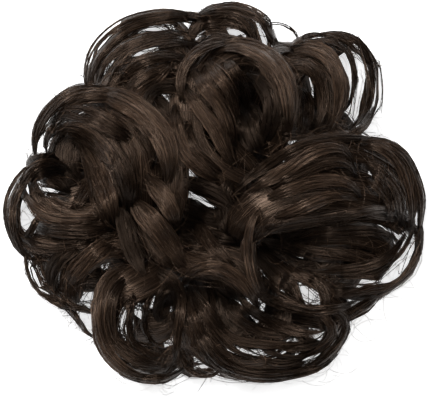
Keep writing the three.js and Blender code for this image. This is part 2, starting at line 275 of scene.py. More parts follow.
# root and at are bearings, out, loopX, loopY and wide are shares of the spread, level of the height
curlColumns = ("root", "at", "out", "loopX", "loopY", "start", "turn", "tighten", "level", "bank", "wide",
               "strands")
curlTable = {
    "crown_ring": (35, 69, 0.49, 0.2, 0.23, -60, 300, 0.72, 1, 22, 0.2, 130),
    "crown_left": (-10, 67, 0.46, 0.27, 0.34, -95, -175, 1, 0.84, 15, 0.17, 120),
    "crown_wall": (-5, 62, 0.51, 0.21, 0.24, -110, -130, 1, 0.72, 10, 0.2, 70),
    "upper_left_fan": (214, 159, 0.66, 0.39, 0.39, -30, 214, 0.3, 0.88, 18, 0.24, 150),
    "upper_left": (165, 153, 0.53, 0.32, 0.3, -30, 225, 1, 0.74, 25, 0.17, 130),
    "middle_left": (228, 167, 0.42, 0.28, 0.39, -25, 100, 1, 0.96, 10, 0.14, 110),
    "inner_left": (150, 12, 0.11, 0.38, 0.39, 172, 75, 1, 0.6, 5, 0.17, 90),
    "inner_lower_left": (215, -120, 0.5, 0.16, 0.17, 140, 200, 1, 0.42, 10, 0.2, 60),
    "inner_bottom": (222, -86, 0.5, 0.2, 0.2, 105, -110, 1, 0.84, 12, 0.17, 100),
    "centre_bottom": (178, -117, 0.36, 0.25, 0.27, 75, -85, 1, 0.52, 5, 0.2, 70),
    "inner_right": (28, -31, 0.48, 0.21, 0.24, 150, 95, 1, 0.8, 10, 0.08, 50),
    "centre_right": (42, -40, 0.46, 0.25, 0.27, 125, 105, 1, 0.46, 5, 0.22, 60),
    "right_high": (-15, 1, 0.69, 0.3, 0.26, 165, -200, 1, 0.88, 20, 0.21, 140),
    "right_middle": (-58, -19, 0.62, 0.43, 0.25, 165, -145, 1, 1, 12, 0.22, 140),
    "right_low": (-15, -18, 0.78, 0.26, 0.21, 125, -240, 1, 0.66, 22, 0.16, 130),
    "right_low_inner": (-25, -22, 0.71, 0.22, 0.11, 110, -220, 1, 0.5, 12, 0.14, 60),
    "right_inner": (-20, -27, 0.64, 0.31, 0.11, 95, -110, 1, 0.42, 5, 0.24, 50),
    "lower_right": (-45, -53, 0.77, 0.2, 0.18, 90, -215, 1, 0.72, 22, 0.17, 110),
    "bottom": (-100, -71, 0.62, 0.26, 0.22, 165, 185, 1, 0.62, 22, 0.2, 110),
    "bottom_small": (-98, -91, 0.71, 0.1, 0.09, 160, 200, 1, 0.34, 20, 0.1, 60),
    "bottom_left": (240, -114, 0.65, 0.19, 0.21, 95, 235, 0.9, 0.8, 20, 0.2, 120),
    "lower_left_inner": (212, -136, 0.61, 0.2, 0.21, 80, 135, 1, 0.58, 12, 0.17, 80),
    "lower_left": (205, -155, 0.73, 0.16, 0.15, 60, 250, 1, 0.48, 22, 0.13, 110),
    "left_inner": (180, 171, 0.6, 0.22, 0.18, -50, -150, 1, 0.66, 12, 0.14, 90),
    "left": (190, -176, 0.69, 0.24, 0.2, -50, -190, 1, 0.54, 22, 0.16, 120),
    "top_left": (90, 115, 0.65, 0.26, 0.28, 45, 165, 1, 0.54, 22, 0.15, 130),
    "top_left_middle": (100, 113, 0.57, 0.23, 0.21, 55, 150, 1, 0.64, 12, 0.15, 100),
    "top_left_low": (110, 123, 0.48, 0.28, 0.24, 50, 130, 1, 0.78, 12, 0.16, 110),
    "top": (75, 82, 0.74, 0.17, 0.17, -20, 215, 1, 0.56, 22, 0.15, 110),
    "top_inner": (80, 82, 0.59, 0.18, 0.16, 0, 170, 1, 0.46, 10, 0.18, 60),
    "top_right": (50, 42, 0.81, 0.2, 0.21, 155, -235, 1, 0.54, 22, 0.16, 140),
    "top_right_inner": (45, 46, 0.65, 0.16, 0.19, 130, -190, 1, 0.72, 12, 0.18, 100),
}
# the lower round of curls, which lie evenly round the band
underCurl = {"out": 0.57, "loopX": 0.19, "loopY": 0.19, "turn": 250, "tighten": 0.8, "bank": 10, "wide": 0.27,
             "strands": 45}
underRound = {"count": 8, "bearing": 23, "high": 0.34, "low": 0.2, "rootBehind": 22, "startBehind": 130}

curls = {name: dict(zip(curlColumns, row)) for name, row in curlTable.items()}
for i in range(underRound["count"]):
    at = underRound["bearing"] + 360 * i / underRound["count"]
    curls[f"under_{i + 1}"] = dict(underCurl, at=at, root=at - underRound["rootBehind"],
                                   start=at - underRound["startBehind"],
                                   level=underRound["low"] if i % 2 else underRound["high"])


def lockPath(curl):
    shape = lockShape
    share = np.linspace(0, 1, shape["pathSteps"] + 1)
    lean = math.radians(blendTo(shape["rootLow"], shape["rootHigh"], curl["level"]))
    seat = shape["woundOuter"] - shape["rootDepth"]
    root = onBearing(curl["root"]) * (shape["bandRadius"] + seat * math.cos(lean))
    rootZ = shape["cordMiddle"] + seat * math.sin(lean)
    middle = onBearing(curl["at"]) * curl["out"] * shape["spread"]
    rounding = np.maximum(0, (share - shape["approach"] / 2) / (1 - shape["approach"] / 2))
    angle = np.radians(curl["start"] + curl["turn"] * rounding)
    size = shape["spread"] * curl["tighten"] ** rounding
    arrived = 1 - (1 - np.minimum(1, share / shape["approach"])) ** 2
    loop = middle + np.stack([curl["loopX"] * size * np.cos(angle), curl["loopY"] * size * np.sin(angle)], axis=1)
    flat = blendTo(root, loop, arrived[:, None])
    reach = np.hypot(flat[:, 0], flat[:, 1]) / shape["spread"]
    height = curl["level"] * shape["crownHeight"] * (1 - shape["domeFall"] * reach ** 4)
    dip = shape["tipDip"] * smoothShare((share - shape["tipFrom"]) / (1 - shape["tipFrom"]))
    rise = blendTo(rootZ, np.maximum(height, shape["thickness"]), arrived) - dip
    return np.column_stack([flat, rise])


def lockStations(curl, spacing, fewest):
    shape = lockShape
    path = lockPath(curl)
    steps = np.linalg.norm(np.diff(path, axis=0), axis=1)
    run = np.concatenate([[0], np.cumsum(steps)])
    length = run[-1]
    count = int(max(fewest, round(length / spacing)))
    share = np.linspace(0, 1, count + 1)
    place = alongRoute(share * length, run, path)
    along = unitRows(np.gradient(place, axis=0))
    side = math.copysign(1, curl["turn"])
    across = unitRows(np.column_stack([along[:, 1], -along[:, 0], np.zeros(count + 1)])) * side
    reach = np.hypot(place[:, 0], place[:, 1]) / shape["spread"]
    steepness = curl["level"] * shape["crownHeight"] * shape["domeFall"] * 4 * reach ** 2 / shape["spread"]
    across[:, 2] -= steepness * (across[:, 0] * place[:, 0] + across[:, 1] * place[:, 1]) / shape["spread"]
    across = unitRows(across - along * np.sum(across * along, axis=1, keepdims=True))
    bank = math.radians(curl["bank"]) * side
    across = across * math.cos(bank) + np.cross(along, across) * math.sin(bank)
    up = np.cross(across, along) * side
    turning = np.arccos(np.clip(np.sum(along[:-2] * along[2:], axis=1), -1, 1))
    bend = np.full(count + 1, np.inf)
    bend[1:-1] = 2 * (length / count) / np.maximum(turning, 1e-6)
    fullness = tapered(share, shape["rootTaper"], shape["grown"], shape["tipTaper"], shape["thinning"])
    half = np.minimum(curl["wide"] * shape["spread"] * fullness / 2, bend * shape["tightest"])
    thick = shape["thickness"] * np.sqrt(fullness)
    return {"share": share, "place": place, "across": across, "up": up, "half": half, "thick": thick}


# small pulls on the locks, to bring the outline to the photograph's: place, shift and reach in mm
nudges = (
    ((69, 24), (-1.6, -2.6), 12), ((80, 12), (-1.3, -0.3), 12), ((66, 40), (-2.2, -0.6), 12),
    ((50, 63), (-1.1, -2.4), 11), ((-32, 67.5), (1.2, -2.8), 16), ((-53, 45), (3.4, -3.8), 14),
    ((-61, 37), (2.6, -1.8), 10), ((-68, 13.6), (-1.8, 0.4), 9), ((-11, -66), (-0.5, -2.4), 9),
    ((51, -55), (-3.6, 3.2), 10), ((62, -41), (2.6, -1.8), 5),
    ((-74, 3), (1.5, 0), 9), ((73, -34), (-0.8, 0.9), 8), ((56, -56), (-1.0, 0.5), 5),
)


def nudged(rows):
    moved = rows.copy()
    for place, shift, reach in nudges:
        near = np.exp(-np.sum((rows[..., :2] - np.array(place)) ** 2, axis=-1) / reach ** 2)
        moved[..., :2] += near[..., None] * np.array(shift)
    return moved


# where the table shows through: middle, half length and half width in mm from the band's middle, and slope
partings = {
    "middle_slit": (-0.7, -0.5, 4.4, 0.5, -38),
    "middle_speck": (-8, 2.1, 1.5, 0.5, 0),
    "bottom_left_slit": (-30.8, -45.2, 4.6, 0.8, 71),
    "bottom_left_slit_two": (-25.2, -45.2, 3.6, 0.8, 75),
    "lower_left_gap": (-43.4, -36.4, 2.7, 1.0, 40),
    "lower_left_corner": (-44.3, -45.2, 3.3, 1.6, -60),
    "lower_left_edge": (-64.8, -28.6, 4.5, 1.1, -68),
    "left_gap": (-67.8, -7, 4.3, 1.2, 84),
    "left_eye": (-59.5, 3.8, 3.0, 0.6, 0),
    "shoulder_gap": (-61.6, 22.6, 1.9, 0.6, -80),
    "shoulder_notch": (-62.5, 18.6, 1.5, 0.8, 0),
    "shoulder_speck": (-48.3, 32.8, 1.8, 0.6, 0),
    "fan_speck": (-21.8, 21.3, 0.9, 0.5, 0),
    "top_left_eye": (-23.8, 55.4, 3.0, 0.8, 5),
    "top_left_gap": (-18, 64.6, 4.0, 0.6, 5),
    "top_left_gap_end": (-10.5, 62.8, 1.5, 0.7, -45),
    "top_left_edge": (-39, 58.8, 2.5, 0.6, 45),
    "top_left_speck": (-2.5, 61, 1.2, 1.0, 0),
    "top_speck": (11.4, 63.4, 1.8, 1.0, -25),
    "top_slit": (21.6, 62.4, 4.8, 0.8, -68),
    "top_corner": (30, 63.2, 3.8, 2.2, -20),
    "top_right_slit": (52.4, 53.3, 5.6, 0.9, -70),
    "top_right_crescent": (59.2, 50, 6.5, 0.5, -85),
    "top_right_crescent_low": (57.5, 38.7, 7.2, 1.0, 78),
    "top_right_foot": (54.3, 30.2, 2.3, 0.9, 60),
    "top_right_outer": (66.3, 42.5, 7.0, 0.5, -88),
    "crown_speck": (24.6, 40.2, 1.2, 0.7, 30),
    "right_slit": (76.5, -22.4, 7.0, 1.2, 62),
    "right_slit_low": (71.2, -27.8, 5.0, 1.5, 52),
    "right_low_gap": (59.5, -30.8, 4.6, 0.7, -3),
    "right_eye": (38.3, -35.4, 3.6, 1.5, -62),
    "lower_right_speck": (42.3, -51.2, 1.8, 0.9, 25),
    "bottom_speck": (16, -57.4, 1.8, 0.9, -25),
    "bottom_right_speck": (30.5, -57.8, 1.6, 0.7, 0),
    "bottom_right_slit": (41, -59.2, 3.0, 0.5, 15),
    "bottom_small_gap": (-0.8, -63.1, 2.0, 0.7, 0),
    "bottom_left_speck": (-12, -53.2, 0.7, 0.4, 0),
}
partingEdge = {
    "rim": 1.05,  # where a gap's strands end up, in shares of its size
    "reach": 2.0,  # how far round a gap strands are moved
    "mostMoved": 8,  # times their distance from its middle
    "crossing": 0.10,  # share of the strands that may still cross one
    "touching": 0.9,
}


def fromGap(flat, gap):
    # how far along and across a gap the points lie, in shares of its half sizes
    x, y, halfLength, halfWidth, slope = gap
    angle = math.radians(slope)
    dx, dy = flat[..., 0] - x, flat[..., 1] - y
    along = (dx * math.cos(angle) + dy * math.sin(angle)) / halfLength
    across = (dy * math.cos(angle) - dx * math.sin(angle)) / halfWidth
    return along, across


def insidePartings(flat, margin):
    inside = np.zeros(flat.shape[:-1], dtype=bool)
    for gap in partings.values():
        inside |= np.hypot(*fromGap(flat, gap)) < margin
    return inside


def partStrands(middle):
    # moves the strands' points out of each gap to its rim
    rim, edge = partingEdge["rim"], partingEdge["reach"]
    for gap in partings.values():
        x, y, halfLength, halfWidth, slope = gap
        angle = math.radians(slope)
        along, across = fromGap(middle, gap)
        reach = np.hypot(along, across)
        wanted = rim + (edge - rim) * reach / edge
        grow = np.where(reach < edge, wanted / np.maximum(reach, 0.05), 1)
        grow = np.minimum(grow, partingEdge["mostMoved"])
        along, across = along * grow * halfLength, across * grow * halfWidth
        middle[..., 0] = x + along * math.cos(angle) - across * math.sin(angle)
        middle[..., 1] = y + along * math.sin(angle) + across * math.cos(angle)
    return middle


def outsideGaps(rows, rng):
    # leaves out the strands that still cross a gap between two points, all but a few
    middle = rows[0]
    crosses = rng.random(len(middle)) > partingEdge["crossing"]
    inside = np.zeros(len(middle), dtype=bool)
    for share in (0.25, 0.5, 0.75):
        between = blendTo(middle[:, :-1, :2], middle[:, 1:, :2], share)
        inside |= insidePartings(between, partingEdge["touching"]).any(axis=1)
    keep = ~(inside & crosses)
    return [row[keep] for row in rows]


strandWork = {
    "spacing": 5.5,  # mm between the points along a strand
    "fewest": 20,  # points along a strand
    "radius": 0.15,  # mm
    "taper": (0.55, 0.08, 0.25, 0.86),  # thickness at the start, grown by, thickness at the end, thinning from
    "crowd": 0.68,  # times the table's strands
    "cutShort": 0.16,  # the most of its length that a strand leaves off
    "depth": (0.55, 1.15),  # inner and outer reach in the section, squared
    "clumps": 5,  # streams within a lock
    "clumpEdge": 0.85,  # how far across the outer clumps lie
    "clumpScatter": 0.06,
    "gather": 0.35,  # how far strands lean towards their stream's middle
    "drift": 0.16,  # how far the streams wander across the lock
    "ripple": 0.05,
    "rippleTurns": (0.7, 2.2),  # over a strand's length
    "wayward": 0.09,  # share of the strands that leave the lock's surface
    "waywardAcross": 0.35,
    "waywardUp": 0.9,
    "waywardTurns": (0.4, 1.1),
    "fringe": 0.05,  # share that lies outside its outer edge
    "fringeAcross": (0.95, 1.45),
    "fringeTurn": 0.4,
    "thinner": 0.7,  # the wayward and fringe strands
    "lowest": 0.35,  # mm above the table
}
sectionArch = {"lift": 0.16, "fall": 0.55, "depth": 0.40}


def sectionPoint(x, angle, depth):
    # the arched section: x across, and a height that follows the arch
    return sectionArch["lift"] - sectionArch["fall"] * x * x + sectionArch["depth"] * depth * np.sin(angle)


def streamShift(x, share, centres, phases):
    # moves x towards its stream's middle, and the middles wander along the lock
    nearest = np.argmin(np.abs(x[:, None] - centres[None, :]), axis=1)
    middle = centres[nearest][:, None]
    pull = strandWork["gather"] * (0.6 + 0.4 * waving(1.3 * share + phases[nearest][:, None]))
    wander = strandWork["drift"] * np.sin(2 * np.pi * (0.8 * share + 0.35 * middle) + phases[0])
    return x[:, None] + (middle - x[:, None]) * pull + wander


def strandPoints(name, curl, stations, rng):
    work = strandWork
    count = int(curl["strands"] * work["crowd"])
    ends = 1 - work["cutShort"] * rng.random(count) ** 1.5
    share = np.linspace(0, 1, len(stations["share"]))[None, :] * ends[:, None]
    local = share / ends[:, None]
    angle = rng.random(count) * 2 * np.pi
    depth = np.sqrt(blendTo(*work["depth"], rng.random(count)))
    x = np.cos(angle) * depth
    fringe = rng.random(count) < work["fringe"]
    x = np.where(fringe, blendTo(*work["fringeAcross"], rng.random(count)), x)
    angle = np.where(fringe, rng.normal(0, work["fringeTurn"], count), angle)
    low, high = visibleAcross.get(name, (-1, 1))
    x = np.where(fringe, x, blendTo(low, high, (x + 1) / 2))
    centres = np.linspace(-work["clumpEdge"], work["clumpEdge"], work["clumps"])
    centres = centres + rng.normal(0, work["clumpScatter"], work["clumps"])
    phases = rng.random(work["clumps"]) * 2
    shifted = streamShift(x, share, centres, phases)
    turns = blendTo(*work["rippleTurns"], rng.random(count))[:, None]
    shifted = shifted + work["ripple"] * waving(share * turns + rng.random(count)[:, None])
    height = sectionPoint(np.clip(shifted, -1.1, 1.1), angle[:, None], depth[:, None])
    wayward = rng.random(count) < work["wayward"]
    stray = np.where(wayward, rng.normal(0, work["waywardAcross"], count), 0)[:, None]
    turns = blendTo(*work["waywardTurns"], rng.random(count))[:, None]
    loose = np.sin(np.pi * np.clip(local, 0, 1)) * waving(share * turns + rng.random(count)[:, None])
    shifted = shifted + stray * loose
    height = height + np.where(wayward, work["waywardUp"] * rng.random(count), 0)[:, None] * np.abs(loose)
    place, across, up = (alongRoute(share, stations["share"], stations[key])
                         for key in ("place", "across", "up"))
    half = np.interp(share, stations["share"], stations["half"])
    thick = np.interp(share, stations["share"], stations["thick"])
    middle = place + across * (shifted * half)[..., None] + up * (height * thick)[..., None]
    radius = work["radius"] * np.where(wayward | fringe, work["thinner"], 1.0)[:, None] * np.ones_like(share)
    return middle, radius * tapered(local, *work["taper"]), across, up, share


def strandTubes(middle, radius, across, up, share, rng):
    # three-sided tubes round the strands' middle lines, closed at both ends
    count, rings = middle.shape[:2]
    turn = rng.random(count)[:, None] * 2 * np.pi
    points = np.empty((count, rings, 3, 3))
    for k in range(3):
        angle = turn + 2 * np.pi * k / 3
        outward = across * np.cos(angle)[..., None] + up * np.sin(angle)[..., None]
        points[:, :, k] = middle + outward * radius[..., None]
    base = np.arange(count)[:, None] * rings * 3
    starts = base + np.array([2, 1, 0])
    ends = base + (rings - 1) * 3 + np.array([0, 1, 2])
    number = rng.random(count)
    fibre = np.broadcast_to(number[:, None, None], (count, rings, 3)).reshape(-1)
    shares = np.broadcast_to(share[:, :, None], (count, rings, 3)).reshape(-1)
    return {"points": points.reshape(-1, 3), "quads": tubeFaces(count, rings, 3),
            "triangles": np.concatenate([starts, ends]), "fibreMap": np.column_stack([fibre, shares])}


lockCore = {
    "sides": 24,
    "size": 0.86,  # of the lock's own section
    "ridge": 0.10,
    "to": 0.96,  # share of the lock's length
    "closingFrom": 0.86,  # share of the length where it thins
    "tip": 0.15,
    "gapMargin": 1.15,
    "tries": 25,  # places across a lock that are looked at for gaps
    "narrowest": 0.04,
}


def freeWidth(line, normal, half, low, high):
    # at each station, the widest part of the lock between the gaps
    across = np.linspace(low, high, lockCore["tries"])
    place = line[:, None, :] + normal[:, None, :] * (across[None, :] * half[:, None])[..., None]
    blocked = insidePartings(place, lockCore["gapMargin"])
    edges = np.empty((len(place), 2))
    for i, row in enumerate(blocked):
        best, start = (0, 0), None
        for k, taken in enumerate(np.append(row, True)):
            if not taken and start is None:
                start = k
            elif taken and start is not None:
                best, start = max(best, (k - start, start)), None
        edges[i] = across[best[1]], across[max(best[1] + best[0] - 1, best[1])]
    padded = np.pad(edges, ((1, 1), (0, 0)), mode="edge")
    lows = np.max([padded[:-2, 0], padded[1:-1, 0], padded[2:, 0]], axis=0)
    highs = np.min([padded[:-2, 1], padded[1:-1, 1], padded[2:, 1]], axis=0)
    middle, half = (lows + highs) / 2, np.maximum((highs - lows) / 2, lockCore["narrowest"])
    return middle - half, middle + half


def coreForm(points, fibre, share):
    # the mesh rows of a core from its points ring by ring
    rings, sides = points.shape[:2]
    fibres = np.broadcast_to(fibre[None, :], (rings, sides)).reshape(-1)
    shares = np.broadcast_to(share[:, None], (rings, sides)).reshape(-1)
    return {"points": points.reshape(-1, 3), "quads": tubeFaces(1, rings, sides),
            "fibreMap": np.column_stack([fibres, shares]), "rings": rings, "sides": sides}


def lockBody(name, stations, rng):
    # a closed, ribbed body inside a lock's strands
    core, sides = lockCore, lockCore["sides"]
    keep = stations["share"] <= core["to"]
    share, line, across, up, half, thick = (stations[key][keep]
                                            for key in ("share", "place", "across", "up", "half", "thick"))
    angle = np.linspace(0, 2 * np.pi, sides, endpoint=False)
    ridges = rng.normal(0, core["ridge"], (3, sides))
    mixing = np.stack([np.ones(len(share)), np.sin(5 * share), np.cos(7 * share)], axis=1)
    depth = core["size"] * (1 + mixing @ ridges * 0.6)
    closing = (share - core["closingFrom"]) / (core["to"] - core["closingFrom"])
    depth *= blendTo(1, core["tip"], smoothShare(closing))[:, None]
    lows, highs = freeWidth(nudged(line)[:, :2], across[:, :2], half, *visibleAcross.get(name, (-1, 1)))
    x = blendTo(lows[:, None], highs[:, None], (np.cos(angle)[None, :] * depth + 1) / 2)
    depth = depth * np.minimum(1, highs - lows)[:, None] ** 0.5
    y = sectionPoint(x, angle[None, :], depth * 0.9)
    points = nudged(line[:, None, :] + across[:, None, :] * (x * half[:, None])[..., None]
                    + up[:, None, :] * (y * thick[:, None])[..., None])
    points[..., 2] = np.maximum(points[..., 2], strandWork["lowest"])
    return coreForm(points, np.linspace(0, 1, sides), share)


def withCore(strands, core):
    # joins the mesh rows of the strands and of a core, and closes the core's two ends
    points, start, sides = core["points"], len(strands["points"]), core["sides"]
    ends = np.array([points[:sides].mean(axis=0), points[-sides:].mean(axis=0)])
    ring = np.arange(sides)
    after = (ring + 1) % sides
    last = start + (core["rings"] - 1) * sides
    firstEnd, lastEnd = start + len(points), start + len(points) + 1
    capStart = np.column_stack([np.full(sides, firstEnd), start + after, start + ring])
    capEnd = np.column_stack([np.full(sides, lastEnd), last + ring, last + after])
    counts = [len(strands["quads"]), len(core["quads"]), len(strands["triangles"]), 2 * sides]
    return {
        "points": np.concatenate([strands["points"], points, ends]),
        "quads": np.concatenate([strands["quads"], core["quads"] + start]),
        "triangles": np.concatenate([strands["triangles"], capStart, capEnd]),
        "fibreMap": np.concatenate([strands["fibreMap"], core["fibreMap"], [[0.5, 0.0], [0.5, 1.0]]]),
        "faceMaterial": np.repeat([0, 1, 0, 1], counts),
    }


def curlPiece(name, curl, seed):
    rng = np.random.default_rng(seed)
    stations = lockStations(curl, strandWork["spacing"], strandWork["fewest"])
    middle, *others = strandPoints(name, curl, stations, rng)
    middle = partStrands(nudged(middle))
    middle[..., 2] = np.maximum(middle[..., 2], strandWork["lowest"])
    tubes = strandTubes(*outsideGaps((middle, *others), rng), rng)
    form = withCore(tubes, lockBody(name, stations, rng))
    # the lower round of curls, under the others, takes the painted-shade copy
    pair = shadedPair if name.startswith("under") else middlePair
    return meshPiece(f"lock_{name}", form, pair, stands=f"curl_{name}")


total = 0
for seed, (name, curl) in enumerate(curls.items(), start=11):
    total += curlPiece(name, curl, seed)
print("curls made:", len(curls), "with", total, "triangles")


# streams of fibre over the curls

drape = {"pitch": 1.0, "reach": 96, "widen": 2, "soften": 2.4, "bridge": 9.0}  # mm


def blurred(grid, softness):
    reach = int(3 * softness)
    kernel = np.exp(-0.5 * (np.arange(-reach, reach + 1) / softness) ** 2)
    rows = np.apply_along_axis(lambda line: np.convolve(line, kernel, "same"), 1, grid)
    return np.apply_along_axis(lambda line: np.convolve(line, kernel, "same"), 0, rows)


def topOfSolids():
    # the height of the solids' upper side over a grid, softened and carried across the gaps
    points, faces = [], []
    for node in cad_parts.values():
        start = len(points)
        points.extend((vertex.co - Vector(bandCentre)) / mm for vertex in node.data.vertices)
        faces.extend([start + index for index in face.vertices] for face in node.data.polygons)
    tree = BVHTree.FromPolygons(points, faces)
    side = int(2 * drape["reach"] / drape["pitch"]) + 1
    heights = np.full((side, side), np.nan)
    for row in range(side):
        for column in range(side):
            start = Vector((column * drape["pitch"] - drape["reach"], row * drape["pitch"] - drape["reach"], 100))
            hit = tree.ray_cast(start, Vector((0, 0, -1)))[0]
            if hit is not None:
                heights[row, column] = hit.z
    found = ~np.isnan(heights)
    filled = np.where(found, heights, 0)
    for _ in range(drape["widen"]):
        padded = np.pad(filled, 1)
        shifts = [padded[1 + i:1 + i + side, 1 + j:1 + j + side] for i in (-1, 0, 1) for j in (-1, 0, 1)]
        filled = np.max(shifts, axis=0)
    known = (filled > 0).astype(float)
    near = blurred(known, drape["soften"])
    close = blurred(filled, drape["soften"]) / np.maximum(near, 1e-6)
    wide = blurred(filled, drape["bridge"]) / np.maximum(blurred(known, drape["bridge"]), 1e-6)
    trust = smoothShare(near / near.max() * 3)
    return blendTo(wide, close, trust), found


solidTop, solidFound = topOfSolids()


def heightAt(flat):
    place = np.clip((flat + drape["reach"]) / drape["pitch"], 0, len(solidTop) - 1.001)
    corner = place.astype(int)
    share = place - corner
    left, low = corner[..., 0], corner[..., 1]
    lower = blendTo(solidTop[low, left], solidTop[low, left + 1], share[..., 0])
    upper = blendTo(solidTop[low + 1, left], solidTop[low + 1, left + 1], share[..., 0])
    return blendTo(lower, upper, share[..., 1])
